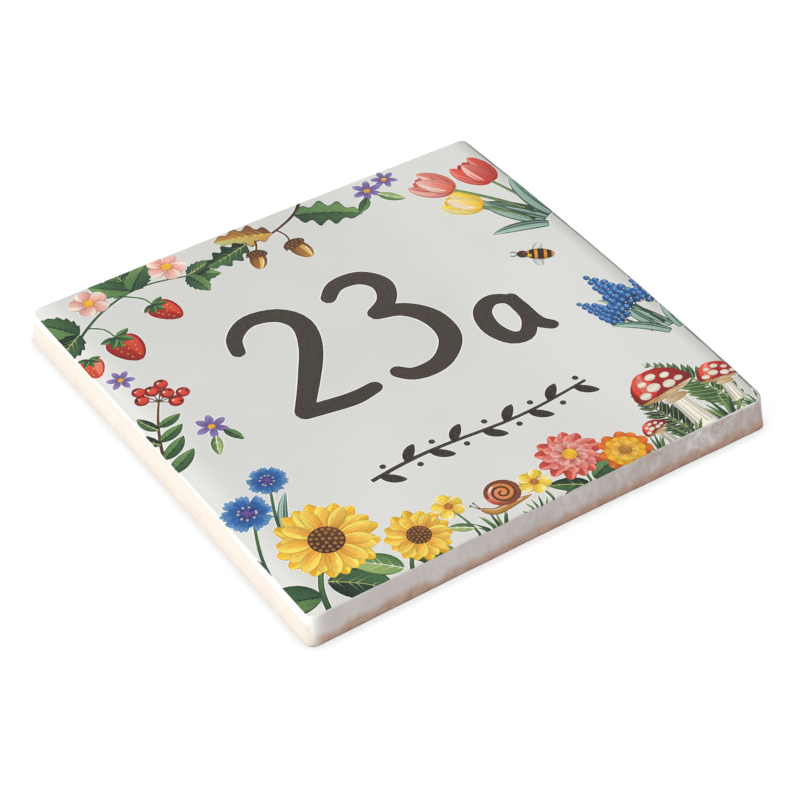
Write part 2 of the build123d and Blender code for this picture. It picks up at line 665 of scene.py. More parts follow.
@dataclass
class GlazedTile:
    """The tile itself: a dense skin wrapped on the CAD slab, with the waves of a hand-poured glaze.

    The cushions are how far the glaze sinks at the left, right, near and far edge, and over how many cells.
    The corner radii are those of the near left, near right, far right and far left corner.
    """

    cells: int = 150
    roll: float = 1.0 * MM
    roll_rows: int = 8
    side_rows: int = 14
    reach: float = 0.05
    corner_radii: tuple[float, ...] = (3.0 * MM, 4.6 * MM, 2.0 * MM, 3.0 * MM)
    corner_cells: int = 3
    corner_clear: float = 5.0 * MM
    foot: float = 0.2 * MM
    back_height: float = 0.95 * MM
    back_border: float = 5.0 * MM
    flatness: float = 0.001 * MM
    weld: float = 0.0005 * MM
    crease: float = 32.0
    cushions: tuple[Span, ...] = ((0.4 * MM, 7.0), (0.22 * MM, 5.0), (0.04 * MM, 3.0), (0.08 * MM, 4.0))
    wave: float = 0.07 * MM
    wave_length: float = 32.0 * MM
    wave_depth: float = 1.6 * MM
    wave_fade: float = 0.5 * MM
    lump: float = 0.45 * MM
    lump_length: float = 13.0 * MM
    lump_foot: float = 0.1 * MM
    lump_fade: float = 1.0 * MM
    lump_border: float = 6.0 * MM
    finish: GlazeFinish = GlazeFinish()

    def build(self) -> Piece:
        """Wraps, waves and dresses the tile.

        Returns:
            The tile, which stands for the CAD node.
        """
        self.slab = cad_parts[NODE]
        self.low, self.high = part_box(NODE)
        self.surface = surface_of(self.slab)
        tile = self._close(self._face(), self._skirt(), self._back())
        self._wave(tile)
        self._mark_facing(tile)
        smooth(tile, self.crease)
        tile.data.materials.clear()
        tile.data.materials.append(self.finish.material())
        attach(tile, BODY)
        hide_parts(NODE)
        self.piece = tile
        return tile

    def _mark_facing(self, tile: Piece) -> None:
        """Stores, for the finish to read, where each point faces and how far in from both sides it lies.

        Args:
            tile: The waved skin.
        """
        facing = np.empty(len(tile.data.vertices) * 3, np.float32)
        tile.data.vertex_normals.foreach_get("vector", facing)
        x, y, z = read_points(tile).T
        left, right = (np.interp(y, border[:, 1], border[:, 0]) for border in self.square[[0, -1]])
        margin = np.stack((x - left, right - x, z), 1).astype(np.float32).ravel()
        for name, values in ((FACING, facing), (MARGIN, margin)):
            tile.data.attributes.new(name, "FLOAT_VECTOR", "POINT").data.foreach_set("vector", values)

    def _hit(self, start: Vector, way: Vector) -> Vector:
        """Gives the point of the slab that a ray meets first."""
        return self.surface.ray_cast(start, way.normalized())[0]

    def _face(self) -> Piece:
        """Lays a fine net over the face, inside its rolled edge.

        Returns:
            The face.
        """
        face, index = add_net(self.cells, self.cells)
        count = self.cells + 1
        share = np.linspace(0.0, 1.0, count)
        roll = self.roll
        level = self.high.z - 2 * roll
        far = 2 * self.high.x
        span = [self.low + (self.high - self.low) * t for t in share]
        keep = self.corner_clear
        across = [min(max(p.x, self.low.x + keep), self.high.x - keep) for p in span]
        along = [min(max(p.y, self.low.y + keep), self.high.y - keep) for p in span]
        left, right = (
            [self._hit(Vector((-way * far, y, level)), Vector((way, 0, 0))).x + way * roll for y in along]
            for way in (1, -1)
        )
        near, away = (
            [self._hit(Vector((x, -way * far, level)), Vector((0, way, 0))).y + way * roll for x in across]
            for way in (1, -1)
        )
        self.net = np.empty((count, count, 3))
        self.square = np.empty((count, count, 2))
        for column in range(count):
            for row in range(count):
                x = left[row] + (right[row] - left[row]) * share[column]
                y = near[column] + (away[column] - near[column]) * share[row]
                self.square[column, row] = (x, y)
                gaps = (x - left[row], right[row] - x, y - near[column], away[column] - y)
                x, y = self._round_corner(x, y, gaps)
                z = self._hit(Vector((x, y, OVERHEAD)), -UP).z
                self.net[column, row] = (x, y, z - self._droop(column, row))
        write_points(face, self.net[index[:, 0], index[:, 1]])
        return face

    def _round_corner(self, x: float, y: float, gaps: tuple[float, ...]) -> tuple[float, float]:
        """Pulls a point of the net in where it lies in one of the slab's rounded corners.

        Args:
            x: The point's place in a net with square corners.
            y: The same, along Y.
            gaps: How far it lies from the left, right, near and far border of that net.

        Returns:
            Its place in the rounded net.
        """
        for radius, (across, along) in zip(self.corner_radii, ((0, 2), (1, 2), (1, 3), (0, 3))):
            turn = radius - self.roll
            a, b = turn - gaps[across], turn - gaps[along]
            if a > 0 and b > 0:
                pull = 1 - max(a, b) / math.hypot(a, b)
                x += a * pull * (-1 if across == 1 else 1)
                y += b * pull * (-1 if along == 3 else 1)
        return x, y

    def _droop(self, column: int, row: int) -> float:
        """Gives how far the glaze sinks towards the edges at a column and row of the net."""
        gaps = (column, self.cells - column, row, self.cells - row)
        return max(drop * max(0.0, 1 - gap / reach) ** 2 for gap, (drop, reach) in zip(gaps, self.cushions))

    def _skirt(self) -> Piece:
        """Rolls a band of rows over the edge and down the sides to the foot.

        Returns:
            The band, closed on itself.
        """
        last = self.cells
        ring = [(i, 0) for i in range(last)] + [(last, i) for i in range(last)]
        ring += [(last - i, last) for i in range(last)] + [(0, last - i) for i in range(last)]
        rows = self.roll_rows + self.side_rows
        skirt, index = add_net(len(ring), rows)
        band = np.empty((len(ring) + 1, rows + 1, 3))
        for number in range(len(ring) + 1):
            band[number] = self._column(*ring[number % len(ring)])
        write_points(skirt, band[index[:, 0], rows - index[:, 1]])
        return skirt

    def _column(self, column: int, row: int) -> np.ndarray:
        """Follows the slab from one point of the face's border down to the foot.

        Args:
            column: The point's column in the net.
            row: The point's row in the net.

        Returns:
            The points of the band under it, from the face to the foot.
        """
        keep, last = self.corner_cells, self.cells - self.corner_cells
        border = Vector(self.net[column, row])
        inner = Vector(self.net[min(max(column, keep), last), min(max(row, keep), last)])
        out = Vector((border.x - inner.x, border.y - inner.y, 0)).normalized()
        level = border.z - self.roll
        side = self._hit(Vector((inner.x, inner.y, level)) + out * self.reach, -out)
        centre = side - out * self.roll
        points = [border]
        for step in range(1, self.roll_rows + 1):
            turn = math.radians(90) * step / self.roll_rows
            ray = out * math.sin(turn) + UP * math.cos(turn)
            hit = self._hit(centre + ray * self.reach, -ray)
            points.append(hit - UP * self._droop(column, row) * (1 - step / self.roll_rows))
        for step in range(1, self.side_rows + 1):
            height = level + (self.foot - level) * (step / self.side_rows)
            points.append(self._hit(Vector((inner.x, inner.y, height)) + out * self.reach, -out))
        return np.array(points)

    def _weld(self) -> None:
        """Welds points that lie on each other in the piece being edited, and deselects everything."""
        bpy.ops.mesh.select_all(action="SELECT")
        bpy.ops.mesh.remove_doubles(threshold=self.weld)
        bpy.ops.mesh.select_all(action="DESELECT")

    def _within(self, points: np.ndarray, border: float) -> np.ndarray:
        """Tells which points lie further in than a border."""
        return np.maximum(abs(points[:, 0]), abs(points[:, 1])) < self.high.y - border

    def _back(self) -> Piece:
        """Copies the keyed back of the slab.

        Returns:
            The back, open at its rim.
        """
        back = self.slab.copy()
        back.data = self.slab.data.copy()
        bpy.context.scene.collection.objects.link(back)
        activate(back)
        bpy.ops.object.mode_set(mode="EDIT")
        self._weld()
        bpy.ops.object.mode_set(mode="OBJECT")
        points = read_points(back)
        inside = self._within(points, self.back_border)
        for face in back.data.polygons:
            ends = list(face.vertices)
            top = points[ends, 2].max()
            keyed = inside[ends].all() and top < self.back_height
            face.select = not (top < self.flatness or keyed)
        bpy.ops.object.mode_set(mode="EDIT")
        bpy.ops.mesh.delete(type="FACE")
        bpy.ops.object.mode_set(mode="OBJECT")
        return back

    def _close(self, *parts: Piece) -> Piece:
        """Welds the face, the band and the back into one closed skin.

        Args:
            parts: The three parts, face first.

        Returns:
            The closed skin.
        """
        tile = join(list(parts), "glazed_tile")
        bpy.ops.object.mode_set(mode="EDIT")
        self._weld()
        bpy.ops.mesh.select_mode(type="EDGE")
        bpy.ops.mesh.select_non_manifold(extend=False, use_boundary=True, use_wire=False)
        bpy.ops.mesh.bridge_edge_loops()
        bpy.ops.mesh.select_all(action="SELECT")
        bpy.ops.mesh.normals_make_consistent(inside=False)
        bpy.ops.mesh.select_mode(type="VERT")
        bpy.ops.object.mode_set(mode="OBJECT")
        return tile

    def _wave(self, tile: Piece) -> None:
        """Gives the face its slow waves and the sides their lumps.

        Args:
            tile: The closed skin.
        """
        points = read_points(tile)
        height = points[:, 2]
        face = np.clip((height - (self.high.z - self.wave_depth)) / self.wave_fade, 0, 1)
        side = np.clip((height - self.lump_foot) / self.lump_fade, 0, 1) ** 0.3 * (1 - face)
        side[self._within(points, self.lump_border)] = 0.0
        waves = (
            ("face", face, self.wave, self.wave_length, 0.5),
            ("side", side, self.lump, self.lump_length, 0.7),
        )
        for name, weights, strength, length, level in waves:
            group = tile.vertex_groups.new(name=name)
            for number in np.flatnonzero(weights):
                group.add([int(number)], float(weights[number]), "REPLACE")
            cloud = bpy.data.textures.new(name + "_wave", "CLOUDS")
            cloud.noise_scale = length
            cloud.noise_depth = 2
            apply(tile, "DISPLACE", texture=cloud, strength=strength, mid_level=level, vertex_group=name)
        tile.vertex_groups.clear()


def aim(heading: float) -> complex:
    """Gives a step of length 1 along a heading."""
    return np.exp(1j * math.radians(heading))


def leftward(spine: Line) -> Line:
    """Gives a step of length 1 to the left at each point of a line."""
    way = np.gradient(spine)
    return 1j * way / np.maximum(abs(way), 1e-9)


def ease(count: int) -> np.ndarray:
    """Gives steps from 0 to 1 that crowd towards both ends, where a mark's outline turns fastest."""
    return (1 - np.cos(np.linspace(0, np.pi, count))) / 2


def bulge(steps: np.ndarray, skew: float, point: float) -> np.ndarray:
    """Gives the half-widths of a leaf or petal of half-width 1.

    Args:
        steps: Places along it, from 0 at its root to 1 at its tip.
        skew: Where it is widest: below 1 nearer its root, above 1 nearer its tip.
        point: How sharp its ends are: 0.5 is round and 1 is pointed.

    Returns:
        A half-width for each step.
    """
    place = steps**skew
    return np.maximum((4 * place * (1 - place)) ** point, 0.01)


def turning_line(root: complex, heading: float, length: float, bend: float, steps: np.ndarray) -> Line:
    """Draws a line that turns evenly.

    Args:
        root: Where it starts.
        heading: Its first direction.
        length: How long it is.
        bend: How far it turns to the left in all, in degrees.
        steps: Places along it, from 0 to 1.

    Returns:
        The line's points.
    """
    turn = math.radians(bend) or 1e-6
    run = (np.exp(1j * turn * steps) - 1) / (1j * turn)
    return root + length * aim(heading) * run


def smooth_line(points: list[complex], count: int) -> Line:
    """Draws a smooth line through points, with its own points evenly spaced.

    Args:
        points: The points that it goes through.
        count: How many points the line gets.

    Returns:
        The line's points.
    """
    knots = np.array([2 * points[0] - points[1], *points, 2 * points[-1] - points[-2]])
    place = np.linspace(0, len(points) - 1, 12 * count)
    start = np.minimum(place.astype(int), len(points) - 2)
    part = place - start
    a, b, c, d = (knots[start + step] for step in range(4))
    curve = b + 0.5 * part * (c - a + part * (2 * a - 5 * b + 4 * c - d + part * (3 * (b - c) + d - a)))
    length = np.concatenate(([0], np.cumsum(abs(np.diff(curve)))))
    return np.interp(np.linspace(0, length[-1], count), length, curve)


def alternate(count: int) -> list[int]:
    """Counts the even numbers first and then the odd ones, so that marks in a ring lie two coats deep."""
    return [*range(0, count, 2), *range(1, count, 2)]


class Paint(Enum):
    """Tones of the print, as red, green and blue from 0 to 255."""

    HALO = (249, 249, 246)
    INK = (65, 56, 49)
    INK_RIM = (36, 31, 29)
    CREAM = (247, 240, 222)
    BLUSH = (246, 212, 202)
    PINK = (240, 154, 142)
    CORAL = (235, 98, 76)
    RED = (208, 50, 42)
    CRIMSON = (140, 23, 29)
    LEMON = (252, 226, 100)
    YELLOW = (247, 198, 40)
    ORANGE = (236, 140, 36)
    OCHRE = (200, 142, 66)
    BROWN = (120, 72, 40)
    UMBER = (52, 34, 28)
    ICE = (204, 226, 240)
    SKY = (124, 182, 226)
    BLUE = (56, 124, 196)
    ROYAL = (30, 72, 150)
    NAVY = (26, 36, 72)
    VIOLET = (104, 76, 150)
    LILAC = (172, 158, 214)
    LIME = (184, 198, 122)
    GRASS = (120, 158, 88)
    MEADOW = (80, 122, 72)
    FOREST = (44, 76, 52)
    PINE = (24, 40, 34)
    SAGE = (120, 156, 142)
    MIST = (182, 208, 194)
    GREY = (150, 148, 146)


Tones = tuple[Paint, Paint]


class Foliage(Enum):
    """Greens of a leaf: at its root, at its tip, on its lit half and along its veins."""

    MEADOW = (Paint.FOREST, Paint.MEADOW, Paint.GRASS, Paint.PINE)
    WOOD = (Paint.PINE, Paint.FOREST, Paint.MEADOW, Paint.LIME)
    SPRING = (Paint.MEADOW, Paint.GRASS, Paint.LIME, Paint.CREAM)
    MISTY = (Paint.FOREST, Paint.SAGE, Paint.MIST, Paint.ICE)
    FERN = (Paint.FOREST, Paint.MEADOW, Paint.GRASS, Paint.LIME)
    RUSSET = (Paint.BROWN, Paint.OCHRE, Paint.LIME, Paint.LEMON)


@dataclass
class Canvas:
    """The face as the painter sees it: where the print ends, and how many coats lie on each spot."""

    tile: GlazedTile
    half_side: float = 84.0
    cell: float = 0.2
    ground: float = 0.010 * MM
    first_coat: float = 0.022 * MM
    coat: float = 0.004 * MM
    overhang: float = 0.86 * MM
    folds: tuple[float, ...] = (-3.0 * MM, -1.5 * MM, -0.6 * MM, 0.0, 0.3 * MM, 0.52 * MM, 0.7 * MM)
    steepest: float = 0.42
    pull: float = 0.999
    stamps: dict = field(default_factory=dict)

    def __post_init__(self) -> None:
        """Starts with no coats, and finds the glaze."""
        count = int(2 * self.half_side / self.cell)
        self.coats = np.zeros((count, count), int)
        self.glaze = surface_of(self.tile.piece)

    def lift(self, marks: np.ndarray) -> float:
        """Adds one coat over a mark.

        Args:
            marks: Points spread all over the mark.

        Returns:
            The height of that coat over the glaze.
        """
        last = len(self.coats) - 1
        column, row = (
            np.clip(((part + self.half_side) / self.cell).astype(int), 0, last)
            for part in (marks.real, marks.imag)
        )
        top = self.coats[column, row].max() + 1
        self.coats[column, row] = top
        return self.first_coat + self.coat * top

    def strip(self, rows: int, columns: int) -> tuple[bpy.types.Mesh, np.ndarray]:
        """Gives a flat strip to shape into a mark: modelled once, and copied for each mark of as many cells.

        Args:
            rows: Cells along the mark.
            columns: Cells across it.

        Returns:
            A new copy of the strip, and each of its vertices' step along and across it.
        """
        if (rows, columns) not in self.stamps:
            stamp, index = add_net(rows, columns, calc_uvs=False)
            stamp.data.attributes.new(TONE, "FLOAT_COLOR", "POINT")
            stamp.data.attributes.new(BRUSH, "FLOAT_VECTOR", "POINT")
            self.stamps[rows, columns] = (stamp.data, index)
            bpy.data.objects.remove(stamp)
        mesh, index = self.stamps[rows, columns]
        return mesh.copy(), index

    def trim(self, piece: Piece) -> None:
        """Cuts off what lies past the rolled edge of the face, and cuts the rest along lines where it rolls
        over.

        Args:
            piece: A flat motif.
        """
        net, square = self.tile.net, self.tile.square
        last = len(net) - 1
        steps = (0, last // 2, last)
        ring = [(s, 0) for s in steps[:2]] + [(last, s) for s in steps[:2]]
        ring += [(s, last) for s in steps[:0:-1]] + [(0, s) for s in steps[:0:-1]]
        places = [Vector((*square[place], 0)) for place in ring]
        offsets = (self.overhang, *self.folds)
        cuts = []
        for side in range(0, 8, 2):
            start, mid, end = (places[(side + step) % 8] for step in range(3))
            out = Vector((end.y - start.y, start.x - end.x, 0)).normalized()
            bowed = (mid - start).dot(out) > 0
            chords = ((start, mid), (mid, end)) if bowed else ((mid, mid + end - start),)
            for first, second in chords:
                normal = Vector((second.y - first.y, first.x - second.x, 0)).normalized()
                cuts += [(first + normal * offset, normal) for offset in offsets]
            corner = Vector((*net[ring[side]][:2], 0))
            away = start.normalized()
            cuts += [(corner + away * (offset - self.overhang), away) for offset in offsets]
        activate(piece)
        bpy.ops.object.mode_set(mode="EDIT")
        for number, (place, normal) in enumerate(cuts):
            outer = number % len(offsets) == 0
            bpy.ops.mesh.select_all(action="SELECT")
            bpy.ops.mesh.bisect(plane_co=place, plane_no=normal, clear_outer=outer)
        bpy.ops.object.mode_set(mode="OBJECT")

    def lay(self, piece: Piece) -> None:
        """Drops a flat motif on the glaze, each mark at its own coat's height.

        A point that would hang down a side, where a lump draws the edge in, is pulled back on to the roll.

        Args:
            piece: A flat motif.
        """
        points = read_points(piece)
        for point in points:
            spot, normal = self._under(point)
            while normal.z < self.steepest:
                point[:2] *= self.pull
                spot, normal = self._under(point)
            point[:] = spot + normal * point[2]
        write_points(piece, points)

    def _under(self, point: np.ndarray) -> tuple[Vector, Vector]:
        """Gives the spot on the glaze under a point, and the way it faces."""
        return self.glaze.ray_cast(Vector((point[0], point[1], OVERHEAD)), -UP)[:2]


@dataclass
class BrushWork:
    """The brush marks of one motif, until they become one piece.

    A mark narrower than slim is one cell wide, and the cells of other marks are no wider than cell.
    """

    name: str
    canvas: Canvas
    seed: int
    finish: GouacheFinish = GouacheFinish()
    halo_width: float = 0.28
    slim: float = 0.8
    cell: float = 1.6
    unevenness: float = 0.05
    hair_shift: float = 40.0
    thickness: float = 0.16 * MM
    crease: float = 30.0
    marks: list[Piece] = field(default_factory=list)

    def __post_init__(self) -> None:
        """Seeds the painter's hand."""
        self.random = random.Random(self.seed)

    def vary(self, spread: float) -> float:
        """Gives a random amount, up to spread either way."""
        return self.random.uniform(-spread, spread)

    def sweep(
        self, spine: Line, half: np.ndarray, tones: Tones, across: Span = (-1.0, 1.0), rim: float = 0.0,
        ground: bool = False,
    ) -> None:
        """Makes one brush mark.

        Args:
            spine: The line that the brush follows, in millimetres.
            half: The mark's half-width at each point of the spine.
            tones: Its paint at the start and at the end.
            across: The share of the width that it fills, from -1 on the right to 1 on the left.
            rim: How much darker its edges are.
            ground: True where it lies under every other mark.
        """
        width = half.max() * (across[1] - across[0])
        columns = 1 if width < self.slim else max(2, math.ceil(width / self.cell))
        place = np.linspace(*across, columns + 1)
        grid = spine[:, None] + (leftward(spine) * half)[:, None] * place
        share = np.linspace(0, 1, len(spine))[:, None, None]
        first, second = (np.array(tone.value, float) for tone in tones)
        tone = (first + (second - first) * share) * (1 - rim * abs(place) ** 3)[None, :, None]
        if not ground:
            tone = tone * (1 + self.vary(self.unevenness))
        run = np.concatenate(([0], np.cumsum(abs(np.diff(spine)))))
        mesh, index = self.canvas.strip(len(spine) - 1, columns)
        along, side = index.T
        spots = grid[along, side]
        height = self.canvas.ground if ground else self.canvas.lift(self._spread(grid))
        points = np.stack((spots.real * MM, spots.imag * MM, np.full(len(spots), height)), 1)
        mesh.vertices.foreach_set("co", points.astype(np.float32).ravel())
        shades = np.concatenate((linear(np.clip(tone, 0, 255)), np.ones((*grid.shape, 1))), 2)
        mesh.attributes[TONE].data.foreach_set("color", shades[along, side].astype(np.float32).ravel())
        shift = np.full(len(spots), self.vary(self.hair_shift))
        hairs = np.stack((run[along], (half[:, None] * place)[along, side], shift), 1)
        mesh.attributes[BRUSH].data.foreach_set("vector", hairs.astype(np.float32).ravel())
        mark = bpy.data.objects.new(self.name, mesh)
        bpy.context.scene.collection.objects.link(mark)
        self.marks.append(mark)

    def _spread(self, grid: np.ndarray) -> np.ndarray:
        """Fills a mark's net with points that are closer than the canvas's cells.

        Args:
            grid: The net's points.

        Returns:
            A finer net of points.
        """
        step = self.canvas.cell * 0.8
        rows = int(abs(np.diff(grid, axis=0)).sum(0).max() / step) + 2
        columns = int(abs(np.diff(grid, axis=1)).sum(1).max() / step) + 2
        old_rows, old_columns = (np.linspace(0, 1, count) for count in grid.shape)
        long = np.array([np.interp(np.linspace(0, 1, rows), old_rows, line) for line in grid.T]).T
        return np.array([np.interp(np.linspace(0, 1, columns), old_columns, line) for line in long])

    def halo(self, spine: Line, half: np.ndarray) -> None:
        """Lays the pale edge that the print leaves round a shape.

        Args:
            spine: The shape's middle line.
            half: Its half-widths.
        """
        grow = self.halo_width
        start = spine[0] - grow * (spine[1] - spine[0]) / abs(spine[1] - spine[0])
        end = spine[-1] + grow * (spine[-1] - spine[-2]) / abs(spine[-1] - spine[-2])
        line = np.concatenate(([start], spine, [end]))
        widths = np.concatenate(([half[0] + grow * 0.4], half + grow, [half[-1] + grow * 0.4]))
        self.sweep(line, widths, (Paint.HALO, Paint.HALO), ground=True)

    def shape(self, spine: Line, half: np.ndarray, tones: Tones, rim: float = 0.2) -> None:
        """Makes one mark with its pale edge under it."""
        self.halo(spine, half)
        self.sweep(spine, half, tones, rim=rim)

    def gleam(self, spine: Line, half: np.ndarray, tones: Tones, across: Span) -> None:
        """Lays a lit patch along a shape, which narrows towards both its ends.

        Args:
            spine: The shape's middle line, as far as the patch goes.
            half: The shape's half-widths there.
            tones: The patch's paint at its start and at its end.
            across: The share of the width that it fills, from -1 on the right to 1 on the left.
        """
        middle = spine + leftward(spine) * half * sum(across) / 2
        taper = bulge(np.linspace(0.03, 0.97, len(spine)), 1.0, 0.5)
        self.sweep(middle, half * (across[1] - across[0]) / 2 * taper, tones)

    def vein(
        self, spine: Line, half: np.ndarray, offset: float, span: Span, width: float, tone: Paint
    ) -> None:
        """Draws a fine line along a shape.

        Args:
            spine: The shape's middle line.
            half: Its half-widths.
            offset: Where the line runs, from -1 on the shape's right edge to 1 on its left.
            span: Where along the shape it starts and ends, from 0 to 1.
            width: The line's width.
            tone: Its paint.
        """
        track = spine + leftward(spine) * half * offset
        line = np.interp(np.linspace(*span, 7), np.linspace(0, 1, len(spine)), track)
        self.sweep(line, width / 2 * np.linspace(1.0, 0.35, 7), (tone, tone))

    def line(self, points: list[complex], widths: Span, tones: Tones) -> Line:
        """Draws a stem or stalk.

        Args:
            points: The points that it goes through.
            widths: Its width at the start and at the end.
            tones: Its paint at the start and at the end.

        Returns:
            The line's points.
        """
        run = sum(abs(b - a) for a, b in zip(points, points[1:]))
        count = max(5, math.ceil(run / 1.5))
        spine = smooth_line(points, count)
        self.shape(spine, np.linspace(*widths, count) / 2, tones)
        return spine

    def hair(self, points: list[complex], width: float, tone: Paint) -> None:
        """Draws a fine tapering line through points."""
        spine = smooth_line(points, 6)
        self.sweep(spine, width / 2 * np.linspace(1.0, 0.5, 6), (tone, tone))

    def disc(
        self, centre: complex, radius: float, tones: Tones, squash: float = 1.0, turn: float = 0.0,
        rim: float = 0.15, halo: bool = False,
    ) -> None:
        """Dabs a round spot.

        Args:
            centre: Its middle.
            radius: Its longer radius.
            tones: Its paint at its start and at its end.
            squash: Its width as a share of its length.
            turn: The heading of its length.
            rim: How much darker its edge is.
            halo: True where it has a pale edge of its own.
        """
        steps = ease(8 if radius < 1.5 else 14)
        spine = centre + radius * (2 * steps - 1) * aim(turn)
        half = radius * squash * bulge(steps, 1.0, 0.5)
        if halo:
            self.halo(spine, half)
        self.sweep(spine, half, tones, rim=rim)

    def plant(self, *rows: tuple["Plant", complex, float]) -> None:
        """Paints plants, each given with its place and its heading."""
        for plant, place, heading in rows:
            plant.paint(self, place, heading)

    def finish_piece(self) -> Piece:
        """Turns the marks into one thin, closed piece that lies on the glaze.

        Returns:
            The piece.
        """
        piece = join(self.marks, self.name)
        self.canvas.trim(piece)
        self.canvas.lay(piece)
        apply(piece, "SOLIDIFY", thickness=self.thickness, offset=-1.0)
        smooth(piece, self.crease)
        piece.data.materials.append(self.finish.material())
        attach(piece, BODY)
        return piece


class Plant:
    """Anything in the border that is painted at a place, along a heading."""

    def paint(self, brush: BrushWork, place: complex, heading: float) -> None:
        """Paints it.

        Args:
            brush: The motif's brush.
            place: Its root or its middle.
            heading: The way it grows, hangs or moves.
        """
        self.pose = (brush, place, heading)
        self.draw()

    def draw(self) -> None:
        """Draws its marks."""
        raise NotImplementedError


@dataclass(eq=False)
class Leaf(Plant):
    """A leaf with a dark and a lit half, a midrib and side veins."""

    length: float
    width: float
    bend: float
    greens: Foliage = Foliage.MEADOW
    teeth: int = 0
    lobes: int = 0
    veins: int = 4
    vein_angle: float = 46.0

    def draw(self) -> None:
        """Draws it from where it leaves its stem."""
        brush, root, heading = self.pose
        deep, mid, lit, fine = self.greens.value
        count = 15 + 4 * self.teeth + 5 * self.lobes
        steps = np.linspace(0, 1, count) if self.teeth or self.lobes else ease(count)
        spine = turning_line(root, heading, self.length, self.bend, steps)
        half = self.width / 2 * bulge(steps, 0.82, 0.85)
        if self.teeth:
            half = half * (0.8 + 0.25 * (steps * self.teeth % 1))
        if self.lobes:
            half = half * (0.62 + 0.5 * np.sin(np.pi * self.lobes * steps) ** 2)
        brush.shape(spine, half, (deep, mid), rim=0.28)
        brush.sweep(spine[1:-1], half[1:-1], (mid, lit), across=(0.08, 0.88))
        way = np.gradient(spine)
        for number in range(self.veins):
            place = int(count * (0.16 + 0.6 * number / self.veins))
            ahead = np.searchsorted(steps, steps[place] + 0.8 * half[place] / self.length)
            reach = min(1.05 * half[place], 1.2 * half[ahead])
            for side in (1, -1):
                turn = aim(side * self.vein_angle) * way[place] / abs(way[place])
                tip = spine[place] + turn * reach + 0.12 * reach * way[place] / abs(way[place])
                track = np.linspace(spine[place], tip, 4)
                brush.sweep(track, np.linspace(0.11, 0.04, 4), (fine, lit if side > 0 else mid))
        brush.vein(spine, half, 0.0, (0.0, 0.94), 0.34, fine)


@dataclass(eq=False)
class Blade(Plant):
    """A long strap leaf with veins that run its length."""

    length: float
    width: float
    bend: float
    greens: Foliage = Foliage.MISTY

    def draw(self) -> None:
        """Draws it from its foot."""
        brush, root, heading = self.pose
        deep, mid, lit, fine = self.greens.value
        steps = ease(20)
        spine = turning_line(root, heading, self.length, self.bend, steps)
        half = self.width / 2 * bulge(np.clip(0.12 + 0.88 * steps, 0, 1), 0.85, 0.75)
        brush.shape(spine, half, (deep, mid), rim=0.25)
        brush.sweep(spine[1:-1], half[1:-1], (mid, lit), across=(0.05, 0.8))
        for offset in (-0.55, 0.0, 0.5):
            brush.vein(spine, half, offset, (0.08, 0.9), 0.22, fine if offset == 0 else lit)


@dataclass(eq=False)
class Petal(Plant):
    """A petal with streaks that run out from its root."""

    length: float
    width: float
    tones: Tones
    streak: Paint
    skew: float
    point: float
    bend: float
    streaks: int
    light: Paint | None = None

    def draw(self) -> None:
        """Draws it from where it leaves its flower."""
        brush, root, heading = self.pose
        steps = ease(13)
        spine = turning_line(root, heading, self.length, self.bend, steps)
        half = self.width / 2 * bulge(steps, self.skew, self.point)
        brush.shape(spine, half, self.tones, rim=0.16)
        if self.light:
            brush.gleam(spine[3:-1], half[3:-1], (self.tones[1], self.light), (0.2, 0.85))
        for number in range(self.streaks):
            offset = (2 * (number + 0.5) / self.streaks - 1) * 0.8
            span = (0.06, 0.62 + brush.vary(0.12) - 0.15 * abs(offset))
            brush.vein(spine, half, offset, span, 0.07 * self.width + 0.06, self.streak)


@dataclass(eq=False)
class RayFlower(Plant):
    """A flower of rings of petals round a seeded centre."""

    radius: float
    petals: int
    petal_width: float
    rings: tuple[tuple[float, Paint, Paint], ...]
    streak: Paint
    core: float
    core_tones: Tones
    seed_tone: Paint
    skew: float = 1.25
    point: float = 0.6
    light: Paint | None = None

    def draw(self) -> None:
        """Draws it round its middle, from the heading of its first petal."""
        brush, centre, turn = self.pose
        for ring, (reach, *tones) in enumerate(self.rings):
            for number in alternate(self.petals):
                heading = turn + 360 * (number + 0.5 * (ring % 2)) / self.petals + brush.vary(4)
                root = centre + 0.6 * self.core * aim(heading)
                length = self.radius * reach * (1 + brush.vary(0.06)) - 0.6 * self.core
                width = self.petal_width * (0.75 + 0.25 * reach)
                bend = brush.vary(12)
                petal = Petal(length, width, tones, self.streak, self.skew, self.point, bend, 2, self.light)
                petal.paint(brush, root, heading)
        brush.disc(centre, self.core, self.core_tones, turn=40, rim=0.3)
        for ring, share in enumerate((0.82, 0.52, 0.2)):
            count = max(3, int(2 * math.pi * self.core * share / (0.34 * self.core)))
            for number in range(count):
                place = centre + share * self.core * np.exp(2j * math.pi * (number + 0.5 * ring) / count)
                brush.disc(place, 0.11 * self.core, (self.seed_tone, self.core_tones[1]), rim=0.0)


@dataclass(eq=False)
class Squill(Plant):
    """A small six-petalled star."""

    radius: float
    tones: Tones = (Paint.VIOLET, Paint.LILAC)
    streak: Paint = Paint.NAVY
    core_tones: Tones = (Paint.YELLOW, Paint.ORANGE)

    def draw(self) -> None:
        """Draws it round its middle, from the heading of its first petal."""
        brush, centre, turn = self.pose
        width = 0.52 * self.radius
        for number in alternate(6):
            heading = turn + 60 * number + brush.vary(5)
            petal = Petal(self.radius, width, self.tones, self.streak, 1.1, 0.7, brush.vary(10), 1)
            petal.paint(brush, centre + 0.1 * self.radius * aim(heading), heading)
        brush.disc(centre, 0.24 * self.radius, self.core_tones)
        brush.disc(centre + 0.04 * self.radius, 0.08 * self.radius, (Paint.CREAM, Paint.LEMON))


